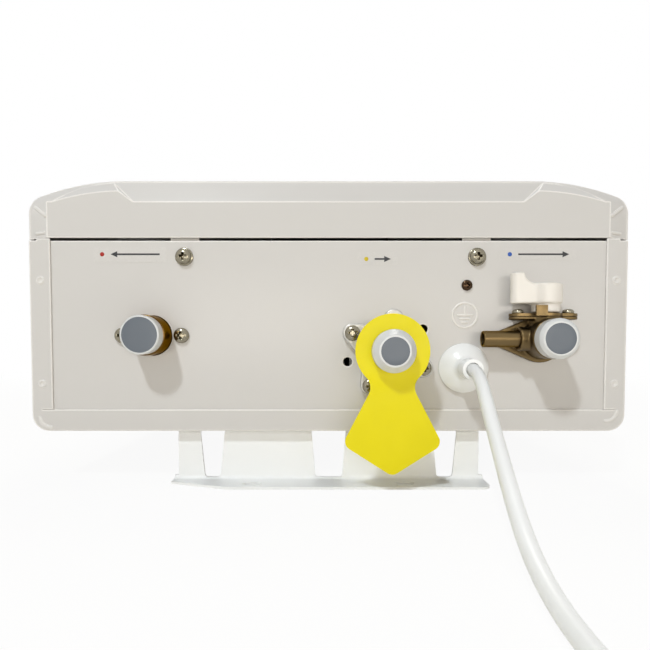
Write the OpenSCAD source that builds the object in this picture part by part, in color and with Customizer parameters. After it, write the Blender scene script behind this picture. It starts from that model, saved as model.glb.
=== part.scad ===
// Wall-hung gas water heater, lying on its two wall brackets.
// X runs across the casing, Y up it as hung, Z from the wall to the front. Millimetres.

/* [Casing] */
// Width of the tray across its side walls
casing_w = 357; // [350:1:400]
// Height of the casing as hung
casing_h = 600; // [585:1:680]
// Stand-off between the wall and the back of the tray
wall_gap = 32; // [26:1:45]
// Depth of the tray from its back to the seam
tray_d = 114; // [112:1:130]
// Steel sheet of the tray and the cover
sheet_t = 1; // [0.8:0.1:1.4]
// Steel sheet of the end panels
panel_t = 1.2; // [0.8:0.1:1.6]
// Outer radius along the tray's back edges
back_r = 10; // [4:1:12]
// Width of the tray's side flanges over the end panels
side_flange_w = 12.5; // [9:0.5:15]
// Width of the tray's back flange over the end panels
back_flange_w = 13; // [9:0.5:16]
// Width of the lips along the tray's side walls and the panels' front edges
lip_w = 9; // [6:0.5:12]
// Open gap at the seam between tray and cover
seam_gap = 1.6; // [0.8:0.1:2.5]

/* [Front cover] */
// How far the cover stands out past each side wall
cover_lap = 3; // [1:0.1:3.5]
// Depth of the cover from its rim to its front
cover_d = 35.2; // [34:0.2:46]
// Width of the flat middle of the front
cover_flat_w = 244; // [230:1:260]
// Radius of the pillowed shoulders of the front
pillow_r = 150; // [130:1:200]
// Radius along the cover's long front edges
corner_r = 11; // [7:0.5:12]
// How far the end bevels reach along the cover
bevel_d = 6; // [4:0.5:9]
// Width of the end bevels at the middle and the sides
bevel_w = 14; // [11:0.5:16]
// Width of the end bevels at the shoulders
shoulder_w = 7.5; // [6:0.5:9]
// Distance of each shoulder step from the middle
shoulder_x = 116; // [110:1:122]
// Distance of each cover tongue from the middle
tongue_x = 87.5; // [75:0.5:110]
// Offset of the pair of tongues from the middle
tongue_off = 1.3; // [-2:0.1:2]
// Width of a cover tongue
tongue_w = 17; // [14:0.5:22]
// Reach of a cover tongue behind the panel
tongue_l = 20; // [17:0.5:26]
// Distance of the cover screws below the seam
cover_screw_drop = 9.6; // [8:0.2:12]

/* [Display] */
// Width of the display lens
lens_w = 90; // [70:1:110]
// Height of the display lens
lens_h = 40; // [30:1:50]
// Height of the display's middle above the lower end
lens_up = 150; // [120:1:200]
// Corner radius of the lens
lens_r = 6; // [3:0.5:10]

/* [Screws] */
// Head radius of the large pan head screws
screw_head_r = 4.6; // [4:0.1:5]
// Head height of the large screws
screw_head_h = 3.2; // [2.4:0.1:3.6]
// Shank radius of the large screws
screw_shank_r = 2.1; // [1.8:0.05:2.4]
// Washer radius under the cover screws
washer_r = 5.4; // [5.1:0.1:6.2]
// Washer thickness
washer_t = 0.8; // [0.6:0.1:1]
// Head radius of the earth screw
earth_head_r = 3.25; // [2.8:0.05:3.6]
// Place of the earth screw across
earth_x = 82.9; // [80:0.1:86]
// Height of the earth screw above the tray's back
earth_up = 87.5; // [86:0.5:90]

/* [Pipe ends] */
// Outside radius of the half inch pipe threads
thread_r = 10.45; // [10.2:0.05:10.7]
// Bore radius of the pipe ends
pipe_bore_r = 7.8; // [6.5:0.1:8.4]
// Wall of the dust caps
cap_wall = 0.6; // [0.4:0.1:1]
// Play between a dust cap and its thread
cap_play = 0.1; // [0.06:0.02:0.2]
// Place of the hot outlet across
hot_x = -106; // [-112:0.5:-100]
// Height of the hot outlet above the tray's back
hot_up = 57.5; // [54:0.5:61]
// Radius of the hot outlet's collar
hot_collar_r = 11.8; // [11.5:0.1:13]
// Height of the hot outlet's collar out of the panel
hot_collar_h = 12.6; // [10:0.2:14]
// Reach of the hot thread past its collar
hot_thread_l = 6.6; // [6:0.2:9]
// Distance of the hot outlet's screws from its axis
hot_screw_x = 17.7; // [17.2:0.1:20]

/* [Gas inlet] */
// Place of the gas inlet across
gas_x = 35.5; // [33:0.5:38]
// Height of the gas inlet above the tray's back
gas_up = 48.5; // [46:0.5:51]
// Thickness of the cast flange
gas_flange_t = 4; // [3:0.2:6]
// Radius of the flange's round middle
gas_flange_r = 17; // [15:0.5:18]
// Distance of the flange screws from the axis
gas_lobe_d = 23.6; // [22.8:0.1:26]
// Radius of the flange lobes
gas_lobe_r = 5.8; // [5.4:0.1:7]
// Radius of the collar behind the tag
gas_collar_r = 12.3; // [11.9:0.1:13.5]
// Height of the collar out of the panel
gas_collar_h = 25.2; // [20:0.2:28]
// Reach of the gas thread past its collar
gas_thread_l = 7.6; // [7:0.2:9]
// Outer radius of the tapered cap
gas_cap_r = 11.8; // [11.6:0.1:12.4]
// Height of the tapered cap
gas_cap_h = 11.2; // [10.6:0.2:13]
// Radius of the tapered cap's nose
gas_cap_nose_r = 8.6; // [8:0.1:9.5]
// Radius of the test holes in the panel beside the flange
test_hole_r = 2.75; // [2:0.05:3.2]

/* [Gas tag] */
// Thickness of the tag
tag_t = 0.8; // [0.5:0.1:1.2]
// Play between the tag and the thread
tag_play = 0.4; // [0.3:0.05:0.7]
// Radius of the tag's round head
tag_head_r = 20.6; // [18:0.1:22]
// Half width of the tag's waist
tag_waist = 12.3; // [10:0.1:14]
// Radius of the hollows beside the waist
tag_hollow_r = 8; // [6:0.5:9]
// Half width of the tag's wide end
tag_wide = 26.2; // [22:0.1:28]
// Distance of the widest place below the head's middle
tag_wide_drop = 50; // [46:0.5:54]
// Length of the tag below the head's middle
tag_l = 68.5; // [64:0.5:72]
// Corner radius of the wide end
tag_corner_r = 5; // [3:0.5:7]

/* [Cold inlet valve] */
// Place of the cold inlet across
cold_x = 126; // [124:0.5:129]
// Height of the cold inlet above the tray's back
cold_up = 55.3; // [53:0.1:58]
// Distance of the knob's axis out of the panel
knob_out = 10; // [9.6:0.1:11]
// Thickness of the diamond flange
cold_flange_t = 4; // [3:0.2:5]
// Radius of the flange's middle
cold_flange_r = 14; // [13:0.2:15]
// Distance of the flange's left screw from the axis
cold_left = 22; // [21:0.2:23]
// Distance of its right screw
cold_right = 18; // [17:0.2:19]
// Radius of the valve's barrel
barrel_r = 11.5; // [11:0.1:12]
// Reach of the barrel out of the panel
barrel_h = 21.4; // [20:0.2:24]
// Reach of the cold thread past the barrel
cold_thread_l = 6.8; // [6.4:0.2:9]
// Radius of the upright neck under the bonnet
neck_r = 9; // [8.6:0.1:9.3]
// Height of the bonnet's seat above the inlet axis
bonnet_up = 13; // [11.8:0.1:13.6]
// Thickness of the bonnet plate
bonnet_t = 1.6; // [1.2:0.1:2]
// Thickness of the body flange under the bonnet
bonnet_seat_t = 2; // [1.6:0.1:2.4]
// Distance of the bonnet screws from the bonnet's middle
bonnet_screw_x = 14.6; // [14.2:0.1:16]
// Head radius of the bonnet screws
bonnet_head_r = 3.3; // [2.8:0.1:3.6]
// Head height of the bonnet screws
bonnet_head_h = 2.8; // [2.2:0.1:3.2]
// Radius of the valve stem
stem_r = 3.5; // [3:0.1:4]
// Running play of the stem in its bonnet
stem_play = 0.05; // [0.02:0.01:0.1]
// Outside radius of the drain tube
drain_r = 4.75; // [4.4:0.05:5.2]
// Bore radius of the drain tube
drain_bore_r = 3.6; // [3:0.1:4]
// Reach of the drain tube to the side of the inlet axis
drain_reach = 36.5; // [32:0.5:40]
// Reach of the boss that holds the drain tube
drain_boss_reach = 16; // [14:0.5:18]

/* [Knob] */
// Gap between the bonnet and the knob's skirt
knob_lift = 0.5; // [0.3:0.1:1]
// Radius of the knob's skirt
skirt_r = 7.8; // [7:0.1:8.2]
// Height of the knob's skirt
skirt_h = 5.2; // [4.2:0.1:6]
// Radius of the knob's hub
hub_r = 9; // [8.6:0.1:9.2]
// Height of the knob's hub
hub_h = 11.5; // [10.5:0.1:14]
// Reach of the pointer's tip from the axis
pointer_reach = 20.5; // [18:0.1:22]
// Radius of the pointer's tip
pointer_r = 3.8; // [3.2:0.1:4.5]
// Height of the pointer's tip
pointer_h = 17.9; // [16:0.1:20]
// Half thickness of the knob half way along its pointer
pointer_waist = 5; // [4:0.1:5.6]
// Radius of the dip between pointer and hub
dip_r = 7; // [6:0.1:8]

/* [Mains cord] */
// Diameter of the cord
cord_d = 7; // [6:0.1:7.2]
// Place of the gland across
gland_x = 81; // [80:0.5:82]
// Height of the gland above the tray's back
gland_up = 38; // [37:0.5:39]
// Radius of the gland's foot
gland_r = 14.8; // [14:0.1:16]
// Rise of the gland's dome above its foot
gland_dome_h = 7; // [5:0.2:9]
// Radius of the gland's nose
gland_nose_r = 5.9; // [5.6:0.1:7]
// Length of the gland out of the panel
gland_l = 22; // [21:0.2:24]
// Radius of the gland's neck through the panel
gland_neck_r = 9; // [8:0.1:10]

/* [Wall brackets] */
// Steel sheet of the brackets
bracket_t = 1.5; // [1.2:0.1:2]
// Inside radius of the bends
bend_r = 2; // [1.5:0.1:3]
// Width of a bracket's upright web
bracket_w = 185; // [175:1:200]
// Width of a bracket's foot
foot_w = 190; // [186:1:210]
// Depth of the foot in front of its bend
foot_d = 17; // [15:0.5:22]
// Depth of the flange under the casing
bracket_top_d = 30; // [22:1:40]
// Distance of the web from the casing's end
web_in = 6; // [4:0.5:10]
// Distance between the two wall slots
slot_spacing = 91; // [84:1:96]
// Length of a wall slot
slot_l = 11.5; // [9:0.5:14]
// Width of a wall slot
slot_w = 5.5; // [4.5:0.1:6.5]

/* [Flue] */
// Outside radius of the flue spigot
flue_r = 37.5; // [34:0.5:40]
// Length of the spigot above the casing
flue_l = 40; // [30:1:55]
// Sheet of the flue collar
flue_t = 1.2; // [0.8:0.1:2]
// Width of the collar's flange
flue_flange_w = 106; // [98:1:116]
// Depth of the collar's flange
flue_flange_d = 88; // [86:0.5:90]
// Distance of the flange screws from the flange's edges
flue_screw_in = 9; // [7:0.5:10]

/* [Burner and heat exchanger] */
// Height of the space under the burner
service_h = 190; // [188:1:200]
// Height of the burner tray
burner_h = 40; // [36:1:46]
// Height of the combustion chamber
chamber_h = 215; // [205:1:230]
// Width of the combustion chamber
chamber_w = 212; // [206:1:216]
// Depth of the combustion chamber
chamber_d = 84; // [82:1:88]
// Gap between the tray's back and the chamber
chamber_up = 25; // [24:0.5:27]
// Sheet of the chamber and the burner tray
chamber_t = 1.2; // [0.8:0.1:1.6]
// Outside radius of the heat exchanger tube
coil_r = 7; // [6:0.1:7.2]
// Spacing of the heat exchanger tubes
coil_pitch = 16.5; // [15.6:0.1:16.8]
// Height of the fin pack
fin_h = 44; // [36:1:48]
// Spacing of the fins
fin_pitch = 7; // [6:0.1:10]
// Thickness of a fin
fin_t = 0.8; // [0.5:0.1:1.2]
// Spacing of the burner bars
bar_pitch = 18; // [17:0.1:18.4]

/* [Fan and water sensor] */
// Radius of the fan housing
fan_r = 48; // [46:0.5:49]
// Depth of the fan housing
fan_d = 46; // [44:0.5:48]
// Radius of the impeller
impeller_r = 40; // [36:0.5:42]
// Radius of the fan motor
motor_r = 27; // [22:0.5:30]
// Length of the fan motor
motor_l = 32; // [28:0.5:36]
// Radius of the fan shaft
shaft_r = 2.5; // [2:0.1:3]
// Running play of the shafts
shaft_play = 0.05; // [0.02:0.01:0.1]
// Radius of the water turbine
turbine_r = 8; // [7.4:0.1:8.2]

/* [Hidden] */
$fn = 64;
eps = 0.01;
over = 1;
fit_gap = 0.2;
hole_gap = 0.3;

hw = casing_w / 2;
back_z = wall_gap;
seam_z = back_z + tray_d;
rim_z = seam_z + seam_gap;
front_z = rim_z + cover_d;
face_y = sheet_t;
panel_in = face_y + panel_t;
top_face_y = casing_h - sheet_t;
top_in = top_face_y - panel_t;
back_in = back_z + sheet_t;
side_in = hw - sheet_t;
flange_x = hw - side_flange_w;
flange_z = back_z + back_flange_w;

hot_z = back_z + hot_up;
gas_z = back_z + gas_up;
cold_z = back_z + cold_up;
gland_z = back_z + gland_up;
cover_screw_z = seam_z - cover_screw_drop;
lens_seat_z = front_z - 2.5;
lens_sink = 0.3;

cap_r = thread_r + cap_play + cap_wall;
cap_gap = 0.3;
hot_end = hot_collar_h + hot_thread_l;
gas_end = gas_collar_h + gas_thread_l;
cold_end = barrel_h + cold_thread_l;
tag_h = gas_collar_h + hole_gap;
gas_cap_at = tag_h + tag_t + 0.5;
gas_reach = gas_cap_at + gas_cap_h;
gas_lobes = [154, 243, 334];
gas_lug = [3.5, 19];
test_holes = [[-24, -6.8], [21.4, 12.9]];
tag_hollow_x = tag_waist + tag_hollow_r;
tag_hollow_drop = sqrt(pow(tag_head_r + tag_hollow_r, 2) - pow(tag_hollow_x, 2));
tag_flare = 27.5;
cold_screws = [-cold_left, cold_right];

// The frame's middle lies half way between the gas cap's nose and the flue's end
y_low = face_y - gas_reach;
y_high = casing_h + flue_l;
frame_y = -round((y_low + y_high) / 2 * 10) / 10;

screw_past = 3;
flange_depth = 4;
inner_spigot = 14;
pipe_socket = 7;
pipe_r = 8;
pipe_t = 1;
pipe_bend = 1.4;

bonnet_z = cold_z + bonnet_up;
bonnet_top = bonnet_z + bonnet_t;
knob_z = bonnet_top + knob_lift;
hub_z = knob_z + skirt_h;
bonnet_half_y = neck_r;
bonnet_shift = -1.6;
bonnet_shank_r = 1.6;
bonnet_end_r = 5;
bonnet_back = knob_out - cold_flange_t - hole_gap;
bonnet_spigot = 2;
stem_foot_z = cold_z + 4;
stem_foot_h = 3;
drain_way_r = drain_bore_r - 0.6;
drain_socket = 6;
drain_boss_t = 2.2;
sunk_head_r = 4.2;
sunk_head_h = sunk_head_r - screw_shank_r;
cold_ear_r = 5.4;
lug_x = [-9.3, -2.9];
lug_t = 1.6;
lug_h = 4.4;
stem_top = hub_z + hub_h - 3;
valve_bore_r = neck_r - 2;

bracket_slot_y = foot_d / 2 + 1;
foot_clip = [36, 12];
// Windows between the legs: place across, width below, width above
leg_windows = [[0, 17, 21.5], [-71.5, 10, 15.5], [71.5, 10, 15.5]];
shoulder_slant = 19;
shoulder_draft = 4;
seam_tab_in = 4.5;
joint_in = 6;
joint_t = 0.25;

chamber_z = back_z + chamber_up;
chamber_mid_z = chamber_z + chamber_d / 2;
burner_y = service_h;
chamber_y = burner_y + burner_h;
hood_y = chamber_y + chamber_h;
coil_y = hood_y - 25;
coil_n = 5;
coil_z0 = chamber_mid_z - coil_pitch * (coil_n - 1) / 2;
coil_end_x = chamber_w / 2 + 3;
coil_t = 1;
fin_n = 2 * floor((chamber_w / 2 - 6) / fin_pitch) + 1;
bar_n = 11;
manifold_y = burner_y + 16;
manifold_half = 7;
manifold_gap = 3;
burner_front = chamber_z + chamber_d - 2;
manifold_z = burner_front + manifold_gap + manifold_half;
electrode_x = [-20, 20, 50];
electrode_up = 14;
electrode_r = 4.5;
electrode_out = 20;
electrode_in = 14;
electrode_tip = [1.2, 20];
electrode_collar = [7, 3];
hot_side = 34;
hot_step = 44;
cold_step = 38;
hood_h = 85;
hood_neck_y = hood_y + hood_h;
flue_in_l = 30;
gasket_t = 1.5;

fan_x = -38;
fan_y = service_h - 62;
fan_z = chamber_z + 14;
fan_front = fan_z + fan_d;
fan_outlet = -32;
fan_mouth_in = 8;
fan_inlet_r = 26;
shaft_hole_gap = 2;
impeller_gap = 4;
impeller_front = fan_front - impeller_gap;
impeller_back = fan_z + impeller_gap;
impeller_hub = [7, 14];
motor_end = 6;
blade_n = 24;

gas_valve_y = panel_in + 30;
gas_valve_h = 78;
gas_valve_w = 44;
gas_valve_d = 48;
gas_valve_front = gas_z + gas_valve_d / 2;
gas_coil_l = 24;
gas_coil_nut = [4, 4];
gas_coil_places = [[-11, 18, 9.5], [11, 18, 9.5], [0, 54, 15]];
gas_socket = 8;
gas_step = 2;
riser_socket = 4;
riser_rise = 40;
gas_boss = [12, 6];

sensor_y = panel_in + 12;
sensor_l = 56;
sensor_r = 14;
sensor_bore = turbine_r + 0.6;
guide_t = 4;
turbine_l = 16;
turbine_gap = 1;
turbine_mid = sensor_y + 27;

control_w = 38;
control_y = 120;
control_h = 180;
control_z0 = back_in + 30;
control_d = 80;
control_t = 1.6;
board_lift = 6;
board_t = 2;
// Parts on the board: low and high along Y, low and high along Z, height
board_parts = [[20, 55, 14, 46, 20], [80, 100, 16, 32, 14], [110, 130, 16, 32, 14]];
board_post = [3, 12, 10];
igniter_size = [24, 55, 35];
igniter_up = [20, 27];
igniter_pin = [2.5, 8];
rail_w = 25;
rail_t = 1.5;

// The cord's free stretch, in the part's own frame: from the gland down to the floor and the coil
cord_route = [
    [81, -317.5, 70], [81, -323, 70], [81, -331, 68], [80.6, -338, 64.4], [80, -346, 58.8],
    [79.2, -356, 51], [78.2, -368, 42.2], [76.8, -381, 34], [75.1, -395, 26], [73.6, -409, 18.4],
    [72.4, -422, 12.2], [71.4, -436, 7.6], [70.6, -450, 5], [70.1, -464, 4], [70, -480, 3.8],
    [70, -500, 3.8], [70, -520, 3.8], [70, -541, 3.8]
];
gland_foot_h = 2;
gland_fillet = 4;
gland_neck_l = 8;
cord_socket = 5;
cord_play = 0.4;
cord_sides = 10;
coil_sides = 6;
loop_mid = [21.5, -549];
loop_r = 48.5;
loop_pitch = 7.7;
loop_lift = 7.7;
loop_turns = 5.25;
loop_steps = 24;
climb_turn = 0.5;
layer_turns = (loop_turns - climb_turn) / 2;
coil_floor = 3.8;
coil_lead = 8;
tie_w = 4;
tie_t = 1;
tie_z = [0.2, 15.6];
tie_out = 1.2;
plug_x = loop_mid[0] - coil_lead;
plug_y = loop_mid[1] - loop_r;
plug_z = coil_floor + loop_lift;
plug_l = 30;
relief_l = 16;
blade = [18, 6.3, 1.5];
blade_half = 6.35;
earth_pin_r = 2.4;
earth_pin_l = 20;

// Helpers

// Moves casing coordinates, with Y from the casing's lower end, into the part's frame
module framed() {
    translate([0, frame_y, 0]) children();
}

// A drawing in X and Z, made solid from y0 to y1
module slab_y(y0, y1) {
    translate([0, y1, 0]) rotate([90, 0, 0]) linear_extrude(y1 - y0) children();
}

// A drawing in X and Y, made solid from z0 to z1
module slab_z(z0, z1) {
    translate([0, 0, z0]) linear_extrude(z1 - z0) children();
}

module box(x0, x1, y0, y1, z0, z1) {
    translate([x0, y0, z0]) cube([x1 - x0, y1 - y0, z1 - z0]);
}

// Puts a shape that grows along its own Z on the lower panel, growing out of the casing
module on_panel(x, z, y = face_y) {
    translate([x, y, z]) rotate([90, 0, 0]) children();
}

// The same on the upper panel
module on_top(x, z, y = top_face_y) {
    translate([x, y, z]) rotate([-90, 0, 0]) children();
}

// A hole along Z through whatever lies between z0 and z1
module drill(r, z0, z1) {
    translate([0, 0, z0 - over]) cylinder(h = z1 - z0 + 2 * over, r = r);
}

module both_sides() {
    children();
    mirror([1, 0, 0]) children();
}

// Turns the casing's lower end into its upper one
module other_end() {
    translate([0, casing_h, 0]) mirror([0, 1, 0]) children();
}

module both_ends() {
    children();
    other_end() children();
}

module rod_x(r, x0, x1) {
    translate([x0, 0, 0]) rotate([0, 90, 0]) cylinder(h = x1 - x0, r = r);
}

module rounded(w, h, r) {
    translate([-w / 2 + r, -h / 2]) square([w - 2 * r, h]);
    translate([-w / 2, -h / 2 + r]) square([w, h - 2 * r]);
    for (sx = [-1, 1]) {
        for (sy = [-1, 1]) {
            translate([sx * (w / 2 - r), sy * (h / 2 - r)]) circle(r);
        }
    }
}

// A pan head on its seat with the shank below it
module pan_screw(head_r, head_h, shank_r, shank_l) {
    rim = 0.35 * head_h;
    rise = head_h - rim;
    dome_r = (head_r * head_r + rise * rise) / (2 * rise);
    rotate_extrude() {
        square([head_r, rim + eps]);
        intersection() {
            translate([0, head_h - dome_r]) circle(dome_r);
            translate([0, rim]) square([head_r, rise]);
        }
        translate([0, -shank_l]) square([shank_r, shank_l + eps]);
    }
}

module tube_wall(r, t) {
    difference() {
        circle(r);
        circle(r - t);
    }
}

// Stands a shape on point a with its own X, Y and Z along the given directions
module turned(a, x, y, z) {
    multmatrix([
        [x[0], y[0], z[0], a[0]], [x[1], y[1], z[1], a[1]], [x[2], y[2], z[2], a[2]], [0, 0, 0, 1]
    ]) children();
}

// A pipe of straight lengths and square bends through the given corners
module pipe(pts, r, t) {
    b = r + pipe_bend;
    last = len(pts) - 1;
    for (i = [0 : last - 1]) {
        d = unit(pts[i + 1] - pts[i]);
        a = pts[i] + (i > 0 ? b : 0) * d;
        e = pts[i + 1] - (i < last - 1 ? b : 0) * d;
        x = unit(cross(abs(d[2]) > 0.5 ? [0, 1, 0] : [0, 0, 1], d));
        turned(a, x, cross(d, x), d) linear_extrude(norm(e - a)) tube_wall(r, t);
    }
    for (i = [1 : 1 : last - 1]) {
        u = unit(pts[i] - pts[i - 1]);
        v = unit(pts[i + 1] - pts[i]);
        turned(pts[i] - b * u + b * v, -v, u, cross(u, v)) {
            rotate_extrude(angle = 90) translate([b, 0]) tube_wall(r, t);
        }
    }
}

// A round tube swept through points, with square ends
function unit(v) = v / norm(v);
function heading(p, i) = unit(p[min(i + 1, len(p) - 1)] - p[max(i - 1, 0)]);
function side_of(t) = unit(cross(t, [0, 0, 1]));
function ring_at(c, t, r, n) = [
    for (k = [0 : n - 1]) c + r * cos(360 * k / n) * side_of(t) + r * sin(360 * k / n) * cross(side_of(t), t)
];

module swept(p, r, n) {
    m = len(p);
    points = [for (i = [0 : m - 1]) each ring_at(p[i], heading(p, i), r, n)];
    walls = [
        for (i = [0 : m - 2])
            for (k = [0 : n - 1])
                let (a = i * n + k, b = i * n + (k + 1) % n)
                    each [[a, b, b + n], [a, b + n, a + n]]
    ];
    first = [for (k = [1 : n - 2]) [0, k + 1, k]];
    last = [for (k = [1 : n - 2]) [(m - 1) * n, (m - 1) * n + k, (m - 1) * n + k + 1]];
    polyhedron(points, concat(walls, first, last));
}

// Casing

module tray_outline(inset, front) {
    w = hw - inset;
    r = back_r - inset;
    low = back_z + inset;
    translate([-w, low + r]) square([2 * w, front - low - r]);
    translate([-w + r, low]) square([2 * (w - r), r + over]);
    for (s = [-1, 1]) {
        translate([s * (w - r), low + r]) circle(r);
    }
}

module rear_casing() {
    color("white") framed() {
        difference() {
            slab_y(0, casing_h) tray_outline(0, seam_z);
            slab_y(sheet_t, casing_h - sheet_t) tray_outline(sheet_t, seam_z + over);
            box(-hw + side_flange_w, hw - side_flange_w, -over, casing_h + over, flange_z, seam_z + over);
            both_ends() both_sides() flange_joint();
        }
        both_sides() {
            box(side_in - lip_w, side_in + eps, panel_in + lip_w, top_in - lip_w, seam_z - sheet_t, seam_z);
            // tabs that fill the seam at the corners
            both_ends() box(flange_x, hw - seam_tab_in, 0, sheet_t, seam_z - eps, rim_z - hole_gap);
        }
    }
}

// The open joint between a side flange and the back flange
module flange_joint() {
    slab_y(-over, sheet_t + eps) translate([flange_x - over, flange_z - joint_t]) {
        square([side_flange_w - joint_in + over, joint_t]);
    }
}

// An end panel behind the tray's flanges, drawn for the lower end
module end_panel() {
    w = side_in - fit_gap;
    difference() {
        union() {
            slab_y(face_y, panel_in) intersection() {
                tray_outline(sheet_t + fit_gap, seam_z);
                translate([-w, 0]) square([2 * w, seam_z]);
            }
            box(-w, w, face_y, face_y + lip_w, seam_z - panel_t, seam_z);
        }
        at_tongues() {
            box(tongue_x - tongue_w / 2 - hole_gap, tongue_x + tongue_w / 2 + hole_gap,
                panel_in - eps, face_y + lip_w + over, seam_z - panel_t - over, seam_z + over);
            on_panel(tongue_x, cover_screw_z) drill(screw_shank_r + fit_gap, -panel_t, 0);
        }
    }
}

module panel_hole(x, z, r) {
    on_panel(x, z) drill(r, -panel_t, 0);
}

module bottom_panel() {
    color("whitesmoke") framed() difference() {
        end_panel();
        panel_hole(hot_x, hot_z, hot_collar_r + hole_gap);
        for (s = [-1, 1]) {
            panel_hole(hot_x + s * hot_screw_x, hot_z, screw_shank_r + fit_gap);
        }
        for (p = test_holes) {
            panel_hole(gas_x + p[0], gas_z + p[1], test_hole_r);
        }
        for (x = cold_screws) {
            panel_hole(cold_x + x, cold_z, screw_shank_r);
        }
        panel_hole(gas_x, gas_z, thread_r + hole_gap);
        for (a = gas_lobes) {
            panel_hole(gas_x + gas_lobe_d * cos(a), gas_z + gas_lobe_d * sin(a), screw_shank_r);
        }
        panel_hole(cold_x, cold_z, thread_r + hole_gap);
        panel_hole(gland_x, gland_z, gland_neck_r + fit_gap);
        panel_hole(earth_x, back_z + earth_up, 1.6);
    }
}

module top_panel() {
    color("whitesmoke") framed() difference() {
        other_end() end_panel();
        on_top(0, chamber_mid_z) drill(flue_r + hole_gap, -panel_t, 0);
        on_top(0, chamber_mid_z) flue_screw_places() drill(screw_shank_r, -panel_t, 0);
    }
}

// Outline of the cover in X and Z, drawn in by inset
module cover_outline(inset, low) {
    half = hw + cover_lap;
    flat = cover_flat_w / 2;
    big = pillow_r - inset;
    cx = half - corner_r;
    cz = front_z - pillow_r + sqrt(pow(pillow_r - corner_r, 2) - pow(cx - flat, 2));
    meet = flat + big * (cx - flat) / (pillow_r - corner_r);
    top = front_z - inset;
    translate([-flat, low]) square([2 * flat, top - low]);
    both_sides() {
        intersection() {
            translate([flat, front_z - pillow_r]) circle(big, $fn = 180);
            translate([flat - over, low]) square([meet - flat + over, top - low]);
        }
        translate([cx, cz]) circle(corner_r - inset);
        translate([flat - over, low]) square([half - inset - flat + over, cz - low]);
    }
}

// The bevelled end of the cover's skin, drawn for the lower end
module cover_end(inset, stepped) {
    half = hw + cover_lap;
    skin = 0.2;
    low = rim_z - (inset > 0 ? over : 0);
    hull() {
        slab_y(inset, inset + skin) translate([-half + bevel_w, low]) {
            square([2 * (half - bevel_w), front_z - bevel_w - low]);
        }
        slab_y(bevel_d - skin, bevel_d) cover_outline(inset, low);
    }
    if (stepped) {
        both_sides() hull() {
            slab_y(0, skin) intersection() {
                cover_outline(shoulder_w, rim_z);
                shoulder(0);
            }
            slab_y(bevel_d - skin, bevel_d) intersection() {
                cover_outline(0.5, rim_z);
                shoulder(shoulder_draft);
            }
        }
    }
}

// Reach of a raised shoulder over the end, grown by draft
module shoulder(draft) {
    x0 = shoulder_x - draft;
    x1 = hw + cover_lap - bevel_w + draft;
    polygon([
        [x0, rim_z], [x0, front_z - bevel_w], [x0 + shoulder_slant, front_z], [x1, front_z], [x1, rim_z]
    ]);
}

module at_tongues() {
    translate([tongue_off, 0, 0]) both_sides() children();
}

module tongue() {
    low = tongue_x - tongue_w / 2;
    high = low + tongue_w;
    back = panel_in + fit_gap;
    at_tongues() difference() {
        union() {
            box(low, high, back, back + panel_t, seam_z - tongue_l, rim_z + 14);
            box(low, high, sheet_t - eps, back + eps, rim_z + 2, rim_z + 14);
        }
        on_panel(tongue_x, cover_screw_z, back + panel_t) drill(screw_shank_r, 0, panel_t);
    }
}

module front_cover() {
    color("white") framed() {
        difference() {
            union() {
                slab_y(bevel_d - eps, casing_h - bevel_d + eps) cover_outline(0, rim_z);
                cover_end(0, true);
                other_end() cover_end(0, false);
            }
            slab_y(bevel_d - 2 * eps, casing_h - bevel_d + 2 * eps) cover_outline(sheet_t, rim_z - over);
            both_ends() cover_end(sheet_t, false);
            slab_z(rim_z, front_z + over) translate([0, lens_up]) {
                rounded(lens_w + 2 * fit_gap, lens_h + 2 * fit_gap, lens_r + fit_gap);
            }
        }
        both_ends() tongue();
    }
}

module cover_screws() {
    color("silver") framed() {
        both_ends() at_tongues() on_panel(tongue_x, cover_screw_z) cover_screw();
    }
}

module cover_screw() {
    cylinder(h = washer_t, r = washer_r);
    translate([0, 0, washer_t - eps]) {
        pan_screw(screw_head_r, screw_head_h, screw_shank_r, washer_t + 2 * panel_t + fit_gap);
    }
}

module earth_screw() {
    color("sienna") framed() on_panel(earth_x, back_z + earth_up) {
        pan_screw(earth_head_r, 2, 1.6, panel_t + 3);
    }
}

module display_lens() {
    color("black") framed() slab_z(lens_seat_z, front_z - lens_sink) {
        translate([0, lens_up]) rounded(lens_w, lens_h, lens_r);
    }
}

module display_housing() {
    edge = 6;
    depth = 10;
    color("dimgray") framed() difference() {
        slab_z(front_z - sheet_t - depth, front_z - sheet_t) translate([0, lens_up]) {
            rounded(lens_w + 2 * edge, lens_h + 2 * edge, lens_r + edge);
        }
        slab_z(lens_seat_z, front_z) translate([0, lens_up]) {
            rounded(lens_w + 2 * fit_gap, lens_h + 2 * fit_gap, lens_r + fit_gap);
        }
    }
}

// Wall brackets

// Section of a bracket in Y and Z: foot, bend, web, bend, flange under the casing
module bracket_section() {
    out_r = bend_r + bracket_t;
    translate([web_in - bend_r - foot_d, 0]) square([foot_d, bracket_t]);
    translate([web_in - bend_r, out_r]) intersection() {
        difference() {
            circle(out_r);
            circle(bend_r);
        }
        translate([0, -out_r]) square(out_r);
    }
    translate([web_in, out_r]) square([bracket_t, wall_gap - 2 * out_r]);
    translate([web_in + out_r, wall_gap - out_r]) intersection() {
        difference() {
            circle(out_r);
            circle(bend_r);
        }
        translate([-out_r, 0]) square(out_r);
    }
    translate([web_in + out_r, wall_gap - bracket_t]) square([bracket_top_d, bracket_t]);
}

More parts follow.
